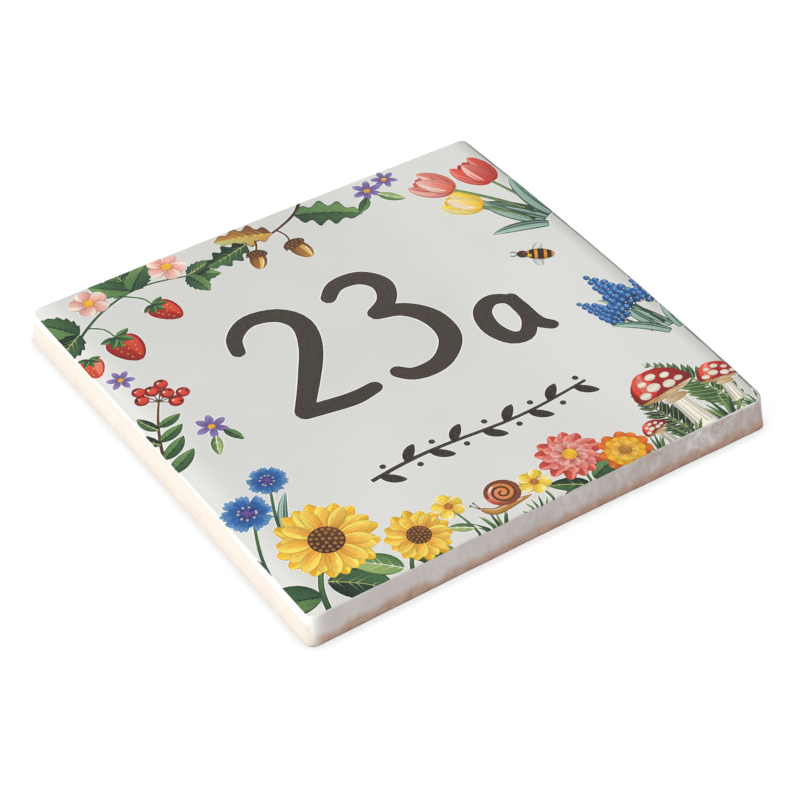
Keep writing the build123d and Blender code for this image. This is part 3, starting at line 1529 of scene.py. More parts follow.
@dataclass(eq=False)
class Tulip(Plant):
    """A tulip on its stem."""

    stem: float
    bloom: float
    bend: float
    tones: tuple[Paint, Paint, Paint, Paint] = (Paint.CRIMSON, Paint.RED, Paint.CORAL, Paint.PINK)

    def draw(self) -> None:
        """Draws it from the foot of its stem."""
        brush, root, heading = self.pose
        deep, body, warm, light = self.tones
        stalk = turning_line(root, heading, self.stem, self.bend, np.linspace(0, 1, 14))
        brush.shape(stalk, np.linspace(0.7, 0.55, 14), (Paint.FOREST, Paint.GRASS))
        brush.vein(stalk, np.full(14, 0.5), 0.5, (0.1, 0.95), 0.25, Paint.LIME)
        way = heading + self.bend
        size = self.bloom
        sides = (-1, 1)
        back = [Petal(0.9 * size, 0.44 * size, (deep, body), deep, 0.8, 0.65, -12.0 * s, 2) for s in sides]
        outer = [Petal(size, 0.44 * size, (body, warm), deep, 0.75, 0.62, -44.0 * s, 3, light) for s in sides]
        front = Petal(0.84 * size, 0.5 * size, (body, light), body, 0.72, 0.62, 0.0, 4, Paint.BLUSH)
        for petal, lean in zip((*back, *outer, front), (-10, 10, -38, 38, 0)):
            petal.paint(brush, stalk[-1], way + lean)


@dataclass(eq=False)
class Strawberry(Plant):
    """A ripe strawberry that hangs from its leafy cap."""

    length: float
    width: float
    tones: tuple[Paint, Paint, Paint] = (Paint.RED, Paint.CRIMSON, Paint.CORAL)

    def draw(self) -> None:
        """Draws it from the end of its stalk, the way it hangs."""
        brush, root, heading = self.pose
        body, deep, lit = self.tones
        steps = ease(16)
        spine = turning_line(root, heading, self.length, 0.0, steps)
        half = self.width / 2 * bulge(steps, 0.6, 0.56)
        brush.shape(spine, half, (body, deep), rim=0.22)
        brush.gleam(spine[1:-3], half[1:-3], (lit, body), (0.1, 0.8))
        along = aim(heading)
        for row in range(5):
            reach = 0.2 + 0.15 * row
            place = np.interp(reach, steps, spine)
            room = np.interp(reach, steps, half)
            count = 4 - row // 2 - row % 2
            for number in range(count):
                seed = place + 1j * along * room * 0.72 * (2 * (number + 0.5) / count - 1)
                brush.disc(seed + 0.12 * along, 0.46, (deep, deep), 0.6, heading)
                brush.disc(seed, 0.36, (Paint.LEMON, Paint.YELLOW), 0.55, heading)
        for number in alternate(5):
            sepal = Leaf(0.42 * self.length, 0.2 * self.length, brush.vary(30), veins=0)
            sepal.paint(brush, root, heading - 96 + 48 * number + brush.vary(8))


@dataclass(eq=False)
class Toadstool(Plant):
    """A red toadstool with pale spots, each by its place across and up the cap and its size."""

    height: float
    cap: float
    lean: float = 4.0
    spots: tuple[tuple[float, float, float], ...] = (
        (-0.62, 0.2, 0.09), (-0.2, 0.34, 0.11), (0.28, 0.2, 0.1), (0.66, 0.22, 0.07),
        (0.05, 0.72, 0.085), (-0.45, 0.62, 0.07), (0.5, 0.55, 0.075),
    )

    def draw(self) -> None:
        """Draws it from its foot."""
        brush, root, heading = self.pose
        steps = np.linspace(0, 1, 12)
        stalk = turning_line(root, heading, self.height * 0.72, self.lean, steps)
        thick = self.cap * (0.12 + 0.07 * (1 - steps) ** 2)
        brush.shape(stalk, thick, (Paint.CREAM, Paint.CREAM), rim=0.3)
        for offset in (-0.6, -0.2, 0.35, 0.7):
            brush.vein(stalk, thick, offset, (0.05, 0.9), 0.25, Paint.GREY)
        way = heading + self.lean
        seat = stalk[-1]
        axis = aim(way)
        skirt = seat - 0.16 * self.height * axis
        brush.disc(skirt, 0.2 * self.cap, (Paint.CREAM, Paint.OCHRE), 0.34, way - 90)
        brush.disc(seat, 0.47 * self.cap, (Paint.OCHRE, Paint.CREAM), 0.26, way - 90, halo=True)
        for number in range(9):
            gill = seat + 0.44 * self.cap * (number / 4 - 1) * axis * -1j
            inner = seat + 0.3 * (gill - seat)
            brush.hair([inner, (inner + gill) / 2 - 0.06 * self.cap * axis, gill], 0.16, Paint.BROWN)
        rise = ease(16)
        dome = turning_line(seat - 0.02 * self.cap * axis, way, 0.5 * self.cap, 0.0, rise)
        half = self.cap / 2 * np.sqrt(np.clip(1 - (0.06 + 0.94 * rise) ** 2.3, 0.0004, 1))
        half = half * (0.93 + 0.07 * np.minimum(rise * 8, 1))
        brush.shape(dome, half, (Paint.CRIMSON, Paint.RED), rim=0.18)
        brush.gleam(dome[2:-1], half[2:-1], (Paint.RED, Paint.CORAL), (0.1, 0.85))
        brush.gleam(dome[5:-2], half[5:-2], (Paint.CORAL, Paint.PINK), (0.35, 0.65))
        for side, up, size in self.spots:
            place = np.interp(up, rise, dome) - 1j * axis * side * np.interp(up, rise, half)
            brush.disc(place, size * self.cap, (Paint.CREAM, Paint.CREAM), 0.75, way - 90)


@dataclass(eq=False)
class Fern(Plant):
    """A fern frond."""

    length: float
    bend: float
    pairs: int
    greens: Foliage = Foliage.FERN

    def draw(self) -> None:
        """Draws it from its foot."""
        brush, root, heading = self.pose
        deep, mid, lit, fine = self.greens.value
        spine = turning_line(root, heading, self.length, self.bend, np.linspace(0, 1, 4 * self.pairs))
        brush.shape(spine, np.linspace(0.45, 0.12, len(spine)), (deep, mid))
        way = np.gradient(spine)
        steps = ease(8)
        for number in alternate(self.pairs):
            place = int(len(spine) * (0.1 + 0.88 * number / self.pairs))
            reach = 0.3 * self.length * (1 - number / self.pairs) ** 0.8 * min(1.0, 0.55 + number / 5)
            for side in (1, -1):
                turn = math.degrees(np.angle(way[place])) + side * (62 - 1.2 * number)
                pinna = turning_line(spine[place], turn, reach + 0.6, -14.0 * side, steps)
                half = (0.11 * reach + 0.3) * bulge(steps, 0.8, 0.75)
                brush.shape(pinna, half, (deep, mid if side < 0 else lit), rim=0.2)
                brush.vein(pinna, half, 0.0, (0.05, 0.85), 0.18, fine)
        brush.sweep(spine, np.linspace(0.3, 0.1, len(spine)), (fine, mid))


@dataclass(eq=False)
class GrapeHyacinth(Plant):
    """A spike of rows of round blue bells on a bare stem."""

    stem: float
    spike: float
    bend: float
    bells: tuple[int, ...] = (3, 4, 4, 4, 3, 3, 2, 1)

    def draw(self) -> None:
        """Draws it from the foot of its stem."""
        brush, root, heading = self.pose
        whole = self.stem + self.spike
        spine = turning_line(root, heading, whole, self.bend, np.linspace(0, 1, 30))
        brush.shape(spine, np.linspace(0.55, 0.3, 30), (Paint.FOREST, Paint.MEADOW))
        way = np.gradient(spine)
        along = way[-1] / abs(way[-1])
        rows = len(self.bells)
        for row in alternate(rows):
            share = row / (rows - 1)
            place = np.interp((self.stem + self.spike * share * 0.96) / whole * 29, np.arange(30), spine)
            size = self.spike * (0.105 - 0.04 * share)
            dark = Paint.NAVY if row < 2 else Paint.ROYAL
            for number in alternate(self.bells[row]):
                side = number - (self.bells[row] - 1) / 2
                bell = place + 1j * along * side * 1.5 * size - along * abs(side) * 0.35 * size
                lit = bell + 0.22j * size + 0.2 * size
                brush.disc(bell, size, (dark, Paint.BLUE), 0.92, 100, rim=0.2, halo=True)
                brush.disc(lit, 0.5 * size, (Paint.BLUE, Paint.SKY), 0.8, 60, rim=0.0)
                brush.disc(bell - along * 0.72 * size, 0.22 * size, (Paint.ICE, Paint.CREAM), 0.6, rim=0.0)


@dataclass(eq=False)
class Cornflower(Plant):
    """A cornflower of fringed blue florets over a scaly cup."""

    radius: float

    def draw(self) -> None:
        """Draws it round its middle, with its cup behind it."""
        brush, centre, heading = self.pose
        size = self.radius
        cup = centre + 0.45 * size * aim(heading + 180)
        brush.disc(cup, 0.42 * size, (Paint.FOREST, Paint.GRASS), 0.75, heading, halo=True)
        brush.disc(centre, 0.5 * size, (Paint.ROYAL, Paint.ROYAL))
        for ring, (reach, count, tip) in enumerate(((1.0, 9, Paint.SKY), (0.72, 7, Paint.BLUE))):
            tones = (Paint.ROYAL, tip)
            for number in alternate(count):
                turn = heading + 360 * (number + 0.5 * ring) / count + brush.vary(6)
                root = centre + 0.14 * size * aim(turn)
                for fan in (-9.5, 9.5, 0.0):
                    length = size * reach * (0.86 + brush.vary(0.08))
                    fringe = Petal(length, 0.24 * size, tones, Paint.NAVY, 1.8, 0.8, fan, 1)
                    fringe.paint(brush, root, turn + fan)
        for number in range(9):
            way = aim(40 * number + brush.vary(12))
            stamen = [centre + reach * size * way for reach in (0, 0.16, 0.33)]
            brush.hair(stamen, 0.1 * size, Paint.VIOLET)
            brush.disc(centre + 0.34 * size * way, 0.05 * size, (Paint.BLUSH, Paint.CREAM))


@dataclass(eq=False)
class Bee(Plant):
    """A round bee in flight."""

    length: float

    def draw(self) -> None:
        """Draws it round its middle, along its flight."""
        brush, centre, heading = self.pose
        along = aim(heading)
        unit = self.length / 2
        joint = centre + 0.2 * unit * along
        for side, turn in ((1, 118), (1, 150), (-1, 118), (-1, 150)):
            size = unit * (1.15 if turn == 118 else 0.8)
            spine = turning_line(joint, heading + side * turn, size, -8.0 * side, ease(12))
            half = 0.24 * size * bulge(ease(12), 1.5, 0.55)
            brush.shape(spine, half, (Paint.ICE, Paint.CREAM), rim=0.22)
            for offset in (-0.75, -0.1, 0.7):
                brush.vein(spine, half, offset, (0.1, 0.85), 0.16, Paint.SKY if offset < 0 else Paint.GREY)
        steps = ease(16)
        spine = turning_line(centre - unit * along, heading, 1.65 * unit, 0.0, steps)
        half = 0.46 * unit * bulge(steps, 0.95, 0.52)
        brush.shape(spine, half, (Paint.ORANGE, Paint.YELLOW), rim=0.3)
        for place in (3, 6, 9):
            brush.sweep(spine[place:place + 3], half[place:place + 3] * 0.98, (Paint.UMBER, Paint.UMBER))
        brush.sweep(spine[10:15], half[10:15] * 0.8, (Paint.YELLOW, Paint.LEMON), across=(0.1, 0.8))
        brush.disc(centre + 0.72 * unit * along, 0.3 * unit, (Paint.UMBER, Paint.BROWN), halo=True)
        for side in (1, -1):
            feeler = centre + 0.95 * unit * along
            bent = feeler + 0.3 * unit * along * np.exp(0.7j * side)
            brush.hair([feeler, bent, bent + 0.22 * unit * along * np.exp(-0.3j * side)], 0.3, Paint.UMBER)


@dataclass(eq=False)
class Snail(Plant):
    """A snail with a coiled shell, which creeps to the left."""

    shell: float

    def draw(self) -> None:
        """Draws it from the middle of its foot, the way it creeps."""
        brush, root, heading = self.pose
        along = aim(heading)
        up = along * -1j
        size = self.shell
        foot = [root + reach * size * along for reach in (-1.35, -0.3, 0.9)]
        neck = root + 1.45 * size * along + 0.5 * size * up
        spine = smooth_line([*foot, neck], 20)
        half = size * 0.26 * bulge(0.04 + 0.9 * np.linspace(0, 1, 20), 1.5, 0.6)
        brush.shape(spine, half, (Paint.OCHRE, Paint.OCHRE), rim=0.3)
        brush.vein(spine, half, -0.4, (0.2, 0.95), 0.4, Paint.CREAM)
        for lean in (0.15, 0.55):
            tip = neck + 0.62 * size * up * np.exp(1j * lean)
            brush.hair([neck, (neck + tip) / 2, tip], 0.35, Paint.BROWN)
            brush.disc(tip, 0.3, (Paint.UMBER, Paint.UMBER))
        centre = root + 0.95 * size * up - 0.15 * size * along
        brush.disc(centre, size, (Paint.BROWN, Paint.CORAL), 0.94, heading, rim=0.3, halo=True)
        brush.disc(centre + 0.05 * size * up, 0.8 * size, (Paint.ORANGE, Paint.PINK), 0.9, heading, rim=0.1)
        turns = np.linspace(0, 4.6 * math.pi, 44)
        coil = centre + size * (0.88 - 0.8 * turns / turns[-1]) * np.exp(-1j * turns) * along
        brush.sweep(coil, np.linspace(0.09, 0.05, 44) * size, (Paint.BROWN, Paint.UMBER))
        gleam = centre + size * 0.66 * np.exp(1j * np.linspace(-1.3, -0.5, 8)) * along
        thin = 0.06 * size * bulge(np.linspace(0.02, 0.98, 8), 1.0, 0.6)
        brush.sweep(gleam, thin, (Paint.CREAM, Paint.BLUSH))


@dataclass(eq=False)
class Acorn(Plant):
    """An acorn in its cup."""

    length: float

    def draw(self) -> None:
        """Draws it from the end of its stalk, the way it hangs."""
        brush, root, heading = self.pose
        along = aim(heading)
        steps = ease(14)
        nut = turning_line(root + 0.2 * self.length * along, heading, 0.85 * self.length, 0.0, steps)
        half = 0.3 * self.length * bulge(steps, 0.75, 0.5)
        brush.shape(nut, half, (Paint.BROWN, Paint.OCHRE), rim=0.3)
        brush.gleam(nut[2:-1], half[2:-1], (Paint.OCHRE, Paint.LEMON), (0.1, 0.65))
        brush.vein(nut, half, 0.55, (0.45, 0.8), 0.5, Paint.CREAM)
        cup = turning_line(root, heading, 0.42 * self.length, 0.0, steps)
        wide = 0.37 * self.length * bulge(steps, 1.25, 0.45)
        brush.shape(cup, wide, (Paint.UMBER, Paint.BROWN), rim=0.2)
        for row in range(3):
            middle = root + along * self.length * (0.12 + 0.1 * row)
            pitch = 1j * along * self.length * (0.13 + 0.035 * row)
            shift = 0.25 * (row % 2 * 2 - 1)
            for number in range(4):
                spot = middle + pitch * (number - 1.5 + shift)
                brush.disc(spot, 0.04 * self.length, (Paint.OCHRE, Paint.BROWN))


@dataclass(eq=False)
class BerrySprig(Plant):
    """A twig of paired leaves with a bunch of red berries."""

    length: float
    bend: float
    pairs: int = 4
    berries: int = 7

    def draw(self) -> None:
        """Draws it from the foot of its twig."""
        brush, root, heading = self.pose
        spine = turning_line(root, heading, self.length, self.bend, np.linspace(0, 1, 30))
        brush.shape(spine, np.linspace(0.6, 0.3, 30), (Paint.UMBER, Paint.BROWN))
        way = np.gradient(spine)
        for number in range(self.pairs):
            place = int(3 + 22 * number / self.pairs)
            turn = math.degrees(np.angle(way[place]))
            size = 1 - 0.1 * number
            for step, greens, bend, lean in ((0, Foliage.WOOD, -20.0, 52), (1, Foliage.MEADOW, 20.0, -55)):
                leaf = Leaf(11.5 * size, 4.8 * size, bend, greens)
                leaf.paint(brush, spine[place + step], turn + lean + brush.vary(8))
        tip = spine[-1]
        for number in range(self.berries):
            spread = (number / (self.berries - 1) - 0.5) * 2
            turn = np.exp(1j * (math.radians(heading + self.bend) + 1.5 * spread))
            reach = (4.6, 7.4)[number % 2] + brush.vary(0.5)
            berry = tip + reach * turn
            bent = tip + 0.55 * reach * turn * np.exp(0.12j * spread)
            brush.line([tip, bent, berry], (0.4, 0.3), (Paint.BROWN, Paint.UMBER))
            brush.disc(berry, 2.1 + brush.vary(0.2), (Paint.CRIMSON, Paint.RED), rim=0.3, halo=True)
            brush.disc(berry + 0.25 - 0.2j, 1.35, (Paint.RED, Paint.CORAL), turn=120, rim=0.0)
            brush.disc(berry - 0.55 + 0.75j, 0.45, (Paint.BLUSH, Paint.CREAM), 0.7, 40, rim=0.0)
            brush.disc(berry + 1.3 * turn, 0.42, (Paint.UMBER, Paint.UMBER))


@dataclass(eq=False)
class GrassTuft(Plant):
    """A fan of fine grass."""

    height: float
    blades: int
    greens: tuple[Tones, ...] = (
        (Paint.FOREST, Paint.GRASS), (Paint.PINE, Paint.MEADOW), (Paint.MEADOW, Paint.LIME),
    )

    def draw(self) -> None:
        """Draws it from its foot, along its middle blade."""
        brush, root, heading = self.pose
        steps = ease(12)
        half = (0.035 * self.height + 0.2) * bulge(0.2 + 0.8 * steps, 0.7, 0.8)
        for number in range(self.blades):
            lean = 54 * (number / (self.blades - 1) - 0.5) + brush.vary(6)
            length = self.height * (1 - 0.006 * abs(lean)) * (1 + brush.vary(0.18))
            spine = turning_line(root + 0.07 * lean, heading - lean, length, -0.7 * lean, steps)
            brush.shape(spine, half, self.greens[number % len(self.greens)], rim=0.15)


@dataclass
class GardenBorder:
    """The painted border: a garden that grows in from the edges of the face."""

    canvas: Canvas
    first_seed: int = 11
    sunflower: RayFlower = RayFlower(
        radius=14.0, petals=17, petal_width=5.0, streak=Paint.OCHRE, light=Paint.LEMON,
        rings=((1.0, Paint.ORANGE, Paint.YELLOW), (0.9, Paint.ORANGE, Paint.LEMON)),
        core=5.0, core_tones=(Paint.UMBER, Paint.BROWN), seed_tone=Paint.OCHRE,
    )
    marigold: RayFlower = RayFlower(
        radius=7.6, petals=11, petal_width=3.8, streak=Paint.CORAL, skew=1.6, point=0.5,
        rings=(
            (1.0, Paint.RED, Paint.ORANGE), (0.76, Paint.ORANGE, Paint.YELLOW),
            (0.5, Paint.ORANGE, Paint.LEMON),
        ),
        core=1.8, core_tones=(Paint.BROWN, Paint.OCHRE), seed_tone=Paint.YELLOW,
    )
    dahlia: RayFlower = RayFlower(
        radius=9.5, petals=13, petal_width=3.8, streak=Paint.CRIMSON, skew=1.4, point=0.55, light=Paint.PINK,
        rings=(
            (1.0, Paint.CRIMSON, Paint.CORAL), (0.76, Paint.RED, Paint.PINK),
            (0.52, Paint.RED, Paint.BLUSH),
        ),
        core=2.2, core_tones=(Paint.ORANGE, Paint.YELLOW), seed_tone=Paint.LEMON,
    )
    blossom: RayFlower = RayFlower(
        radius=6.0, petals=5, petal_width=5.4, streak=Paint.CORAL, skew=1.5, point=0.5, light=Paint.CREAM,
        rings=((1.0, Paint.PINK, Paint.BLUSH),),
        core=1.7, core_tones=(Paint.ORANGE, Paint.YELLOW), seed_tone=Paint.LEMON,
    )
    primrose: RayFlower = RayFlower(
        radius=4.6, petals=5, petal_width=4.2, streak=Paint.ORANGE, skew=1.6, point=0.5, light=Paint.CREAM,
        rings=((1.0, Paint.YELLOW, Paint.LEMON),),
        core=1.2, core_tones=(Paint.ORANGE, Paint.OCHRE), seed_tone=Paint.BROWN,
    )

    def build(self) -> list[Piece]:
        """Paints every part of the border.

        Returns:
            One piece for each.
        """
        parts = (
            self.sunflower_corner, self.berry_edge, self.strawberry_corner, self.oak_edge,
            self.tulip_corner, self.hyacinth_edge, self.toadstool_corner, self.meadow_edge,
        )
        pieces = []
        for seed, part in enumerate(parts, self.first_seed):
            self.brush = BrushWork("print_" + part.__name__, self.canvas, seed)
            part()
            pieces.append(self.brush.finish_piece())
        return pieces

    def sunflower_corner(self) -> None:
        """Paints sunflowers and cornflowers in the lower left corner."""
        rings = ((1.0, Paint.ORANGE, Paint.YELLOW), (0.88, Paint.ORANGE, Paint.LEMON))
        small = replace(self.sunflower, radius=9.4, petals=14, petal_width=3.8, core=3.4, rings=rings)
        self.brush.line([-70 - 78j, -66 - 66j, -57 - 54j], (1.8, 1.4), (Paint.FOREST, Paint.GRASS))
        self.brush.line([-76 - 60j, -73 - 48j, -68 - 36j], (1.0, 0.8), (Paint.FOREST, Paint.MEADOW))
        self.brush.line([-62 - 60j, -64 - 44j, -58 - 28j], (1.0, 0.8), (Paint.PINE, Paint.MEADOW))
        self.brush.line([-46 - 80j, -42 - 72j, -36 - 66j], (1.4, 1.1), (Paint.FOREST, Paint.GRASS))
        self.brush.plant(
            (Leaf(20, 11, 22, veins=6), -68 - 70j, 150),
            (Leaf(19, 11, -24, Foliage.WOOD, veins=6), -64 - 66j, -32),
            (Leaf(15, 8, 20, Foliage.SPRING, veins=5), -45 - 73j, 128),
            (Leaf(13, 6.5, -20, veins=5), -41 - 71j, -14),
            (Blade(18, 3.2, 20), -75 - 54j, 100),
            (Blade(15, 2.8, -24), -63 - 44j, 70),
            (self.sunflower, -56 - 53j, 8),
            (small, -35 - 65j, 3),
            (Cornflower(7.2), -68 - 33j, 110),
            (Cornflower(5.6), -57 - 25j, 75),
        )

    def berry_edge(self) -> None:
        """Paints a berry sprig that climbs the left edge."""
        self.brush.plant(
            (BerrySprig(34, -22), -78 - 12j, 78),
            (Squill(4.6), -58 + 2j, 10),
            (Squill(3.8), -69 + 33j, 35),
            (Leaf(8, 3.4, 15, Foliage.SPRING, veins=3), -59 - 2j, 240),
            (Leaf(7, 3.0, -15, veins=3), -56 - 1j, 300),
        )

    def strawberry_corner(self) -> None:
        """Paints a strawberry runner across the upper left corner."""
        runner = [-80 + 44j, -70 + 55j, -57 + 63j, -43 + 66j, -27 + 62j]
        self.brush.line(runner, (1.1, 0.7), (Paint.FOREST, Paint.MEADOW))
        self.brush.line([-66 + 58.5j, -62 + 55j, -61 + 50j], (0.7, 0.6), (Paint.MEADOW, Paint.GRASS))
        self.brush.line([-50 + 65j, -46 + 61j, -45 + 57j], (0.7, 0.6), (Paint.MEADOW, Paint.GRASS))
        trios = (
            (-69 + 57j, 15.0, (165, 118, 212)),
            (-47 + 66j, 13.0, (92, 138, 46)),
            (-30 + 63j, 10.0, (-30, 12, -74)),
        )
        for root, size, turns in trios:
            for turn in turns:
                greens = Foliage.MEADOW if turn % 4 else Foliage.WOOD
                leaf = Leaf(size, 0.66 * size, self.brush.vary(14), greens, teeth=6, veins=5)
                leaf.paint(self.brush, root, turn)
        self.brush.plant(
            (Strawberry(12.5, 10.6), -61 + 50j, -84),
            (Strawberry(10.5, 8.8), -45 + 57j, -66),
            (Strawberry(8.4, 7.0, (Paint.CORAL, Paint.RED, Paint.PINK)), -72 + 46j, -100),
            (self.blossom, -60 + 68j, 20),
            (self.blossom, -33 + 70j, 50),
        )

    def oak_edge(self) -> None:
        """Paints an oak twig with acorns that hangs over the top edge."""
        self.brush.line([20 + 80j, 12 + 71j, 66j, -9 + 66j], (1.3, 0.7), (Paint.UMBER, Paint.BROWN))
        self.brush.plant(
            (Leaf(21, 11.5, -18, lobes=4, veins=5), 11 + 70j, -22),
            (Leaf(18, 10, 16, Foliage.RUSSET, lobes=4, veins=5), 1 + 66j, 152),
            (Leaf(16, 9, -10, Foliage.WOOD, lobes=4, veins=5), -8 + 66j, 196),
        )
        self.brush.line([3 + 66.5j, 4 + 63j, 3.4 + 60j], (0.7, 0.6), (Paint.BROWN, Paint.BROWN))
        self.brush.line([-5 + 66j, -6 + 63.5j, -7.4 + 61.5j], (0.7, 0.6), (Paint.BROWN, Paint.BROWN))
        self.brush.plant((Acorn(10.0), 3.4 + 60.5j, -82), (Acorn(8.8), -7.2 + 62j, -112))

    def tulip_corner(self) -> None:
        """Paints tulips that lean in the upper right corner."""
        lemon = (Paint.ORANGE, Paint.YELLOW, Paint.LEMON, Paint.CREAM)
        salmon = (Paint.CRIMSON, Paint.CORAL, Paint.PINK, Paint.BLUSH)
        self.brush.plant(
            (Blade(27, 5.6, 34), 74 + 27j, 118),
            (Blade(24, 4.8, -40), 72 + 26j, 138),
            (Tulip(22, 14.5, -8), 77 + 30j, 112),
            (Tulip(17, 13.0, 14, lemon), 70 + 28j, 118),
            (Tulip(26, 14.0, 10, salmon), 72 + 32j, 118),
            (Blade(22, 5.0, -26), 76 + 28j, 104),
            (Blade(18, 4.4, 30), 72 + 24j, 150),
            (Squill(4.6), 36 + 68j, 0),
            (Squill(3.9), 43.5 + 70j, 25),
            (Leaf(9, 3.8, 20, Foliage.SPRING, veins=3), 38 + 65j, -60),
            (Leaf(8, 3.4, -20, veins=3), 34 + 65j, 230),
        )

    def hyacinth_edge(self) -> None:
        """Paints grape hyacinths on the right edge, and a bee over them."""
        self.brush.plant(
            (Blade(24, 3.4, 30), 73 - 34j, 104),
            (Blade(20, 3.2, -36), 70 - 34j, 116),
            (GrapeHyacinth(13, 17, 6), 72 - 32j, 100),
            (GrapeHyacinth(9, 14, -8), 77 - 30j, 92),
            (GrapeHyacinth(10, 14, 10), 67 - 33j, 112),
            (Blade(17, 3.4, 40), 71 - 36j, 120),
            (Blade(15, 3.0, -30), 75 - 36j, 92),
            (Bee(11), 60 + 14j, 148),
        )

    def toadstool_corner(self) -> None:
        """Paints toadstools among ferns in the lower right corner."""
        self.brush.plant(
            (Fern(34, 34, 14), 68 - 74j, 96),
            (Fern(27, -30, 12, Foliage.WOOD), 52 - 76j, 118),
            (GrassTuft(11, 9), 62 - 75j, 90),
            (Toadstool(15, 13.5, -6), 69 - 70j, 86),
            (Toadstool(24, 20), 55 - 73j, 92),
            (Toadstool(9.5, 8.4, 8), 43 - 74j, 96),
            (GrassTuft(8, 7), 49 - 75j, 90),
            (GrassTuft(7, 7), 72 - 75j, 90),
            (GrassTuft(7, 7), 37 - 75j, 90),
        )

    def meadow_edge(self) -> None:
        """Paints low flowers and a snail along the lower edge."""
        green = (Paint.FOREST, Paint.GRASS)
        self.brush.line([14 - 80j, 15 - 72j, 17 - 64j], (1.0, 0.8), green)
        self.brush.line([26 - 80j, 27 - 76j, 28 - 71j], (1.0, 0.8), green)
        self.brush.plant(
            (Leaf(12, 5.4, 18, Foliage.WOOD), 14 - 75j, 140),
            (Leaf(13, 5.6, -18), 16 - 73j, 22),
            (Leaf(10, 4.6, 18, Foliage.SPRING), 13 - 76j, 168),
            (self.dahlia, 16 - 62j, 12),
            (self.marigold, 29.5 - 69j, 4),
            (GrassTuft(8, 8), -16 - 76j, 90),
            (GrassTuft(6, 6), -3 - 76j, 90),
        )
        self.brush.line([-22 - 78j, -21.5 - 70j, -22.6 - 62j], (0.9, 0.7), green)
        self.brush.line([2 - 78j, 2.4 - 72j, 1.8 - 67j], (0.9, 0.7), green)
        self.brush.plant(
            (Leaf(7, 3.2, 16, Foliage.SPRING, veins=3), -21.6 - 71j, 138),
            (Snail(5.2), -8.5 - 69j, 180),
            (self.primrose, -22.6 - 60.5j, 20),
            (self.primrose, 1.8 - 65.5j, 50),
        )


@dataclass(frozen=True)
class Stroke:
    """One stroke of the number: the points that the brush goes through, with its half-width at each."""

    points: tuple[complex, ...]
    halves: tuple[float, ...]
    rows: int = 46

    def outline(self) -> tuple[Line, np.ndarray]:
        """Follows the stroke with round ends.

        Returns:
            Its spine and its half-widths.
        """
        share = 0.4 * np.linspace(0, 1, self.rows) + 0.6 * ease(self.rows)
        fine = smooth_line(list(self.points), 300)
        spine = np.interp(share, np.linspace(0, 1, 300), fine)
        half = np.interp(share, np.linspace(0, 1, len(self.halves)), self.halves)
        run = share * abs(np.diff(fine)).sum()
        for gap in (run, run[-1] - run):
            inside = np.clip(gap / half, 0, 1)
            half = half * np.maximum(np.sqrt(1 - (1 - inside) ** 2), 0.06)
        return spine, half


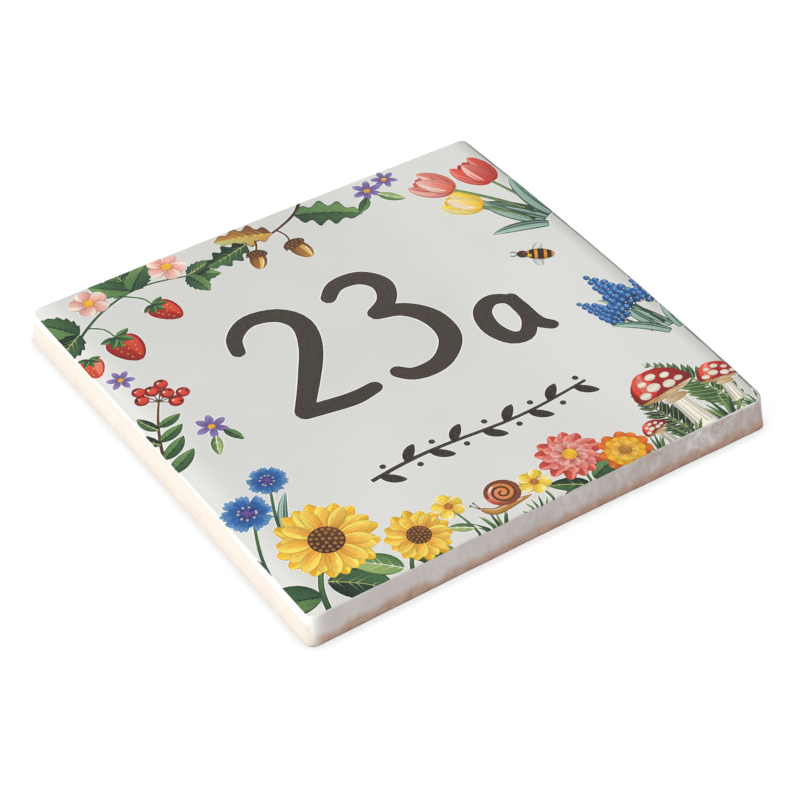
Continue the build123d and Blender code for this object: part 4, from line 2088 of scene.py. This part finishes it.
@dataclass
class HouseNumber:
    """A plain hand-brushed number, in charcoal."""

    canvas: Canvas
    first_seed: int = 71
    halo: float = 0.34
    rim: float = 0.3
    finish: GouacheFinish = CHARCOAL
    two: tuple[Stroke, ...] = (
        Stroke(
            (
                -36.4 + 22.6j, -33.6 + 30.4j, -26.5 + 34.8j, -18 + 32.4j,
                -14.4 + 25.4j, -17.4 + 15.6j, -25.2 + 4.0j, -35.6 - 9.4j,
            ),
            (2.1, 2.5, 2.8, 3.2, 3.5, 3.4, 3.0, 2.7),
        ),
        Stroke((-36.5 - 7.3j, -28 - 8.9j, -19 - 10.2j, -10.0 - 9.2j), (2.7, 2.8, 2.8, 2.2)),
    )
    three: tuple[Stroke, ...] = (
        Stroke(
            (-3.4 + 29.2j, 3.0 + 34.4j, 10.8 + 33.6j, 14.6 + 27.6j, 11.6 + 20.6j, 3.6 + 16.4j),
            (2.2, 2.6, 3.0, 3.2, 2.8, 2.4),
        ),
        Stroke(
            (3.5 + 17.5j, 13.0 + 14.6j, 18.2 + 6.8j, 17.4 - 3.4j, 9.6 - 10.6j, 0.4 - 11.0j, -4.8 - 5.8j),
            (2.4, 2.9, 3.5, 3.5, 3.1, 2.8, 2.2),
        ),
    )
    letter: tuple[Stroke, ...] = (
        Stroke(
            (
                41.8 - 2.6j, 40.4 + 1.8j, 36.0 + 3.6j, 31.2 + 0.4j, 29.4 - 6.6j,
                31.6 - 13.2j, 36.2 - 14.4j, 40.2 - 9.8j, 41.8 - 3.4j,
            ),
            (1.9, 2.2, 2.6, 2.9, 3.0, 2.8, 2.4, 2.1, 1.9),
        ),
        Stroke((41.9 + 3.4j, 41.8 - 4.0j, 42.2 - 11.6j, 46.0 - 16.4j), (2.1, 2.5, 2.5, 1.9)),
    )

    def build(self) -> list[Piece]:
        """Paints the number.

        Returns:
            One piece for each figure.
        """
        figures = {"two": self.two, "three": self.three, "a": self.letter}
        pieces = []
        for seed, (name, strokes) in enumerate(figures.items(), self.first_seed):
            brush = BrushWork("number_" + name, self.canvas, seed, self.finish, self.halo)
            shapes = [stroke.outline() for stroke in strokes]
            for spine, half in shapes:
                brush.halo(spine, half)
            for spine, half in shapes:
                brush.sweep(spine, half, (Paint.INK_RIM, Paint.INK_RIM))
            for spine, half in shapes:
                inner = np.maximum(half - self.rim, 0.1)
                brush.sweep(spine[1:-1], inner[1:-1], (Paint.INK, Paint.INK))
            pieces.append(brush.finish_piece())
        return pieces


@dataclass
class Flourish:
    """A brushed sprig that underlines the number."""

    canvas: Canvas
    seed: int = 81
    finish: GouacheFinish = CHARCOAL
    start: complex = -34 - 41j
    end: complex = 38 - 40.4j
    leaves: int = 9

    def build(self) -> Piece:
        """Paints the sprig.

        Returns:
            The piece.
        """
        brush = BrushWork("number_flourish", self.canvas, self.seed, self.finish)
        span = self.end - self.start
        wave = [self.start + span * t + 1.1j * math.sin(2.2 * math.pi * t) for t in np.linspace(0, 1, 9)]
        stem = brush.line(wave, (1.4, 1.0), (Paint.INK, Paint.INK))
        for number in range(self.leaves):
            place = int((0.06 + 0.88 * number / (self.leaves - 1)) * (len(stem) - 1))
            side = 1 if number % 2 else -1
            spine = turning_line(stem[place], 54 * side, 7.4, -24.0 * side, ease(12))
            brush.shape(spine, 1.6 * bulge(ease(12), 0.9, 0.7), (Paint.INK_RIM, Paint.INK), rim=0.0)
            brush.disc(stem[place] - 2.8j * side + 2.6, 0.95, (Paint.INK, Paint.INK), halo=True)
        return brush.finish_piece()


def main() -> None:
    logging.basicConfig(level=logging.INFO, format="%(name)s: %(message)s")
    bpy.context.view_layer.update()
    Studio().build()
    tile = GlazedTile()
    pieces = [tile.build()]
    canvas = Canvas(tile)
    pieces += GardenBorder(canvas).build()
    pieces += HouseNumber(canvas).build()
    pieces.append(Flourish(canvas).build())
    for piece in pieces:
        log.info("%s: %d faces", piece.name, len(piece.data.polygons))
    log.info("most coats: %d", canvas.coats.max())


if __name__ == "__main__":
    main()
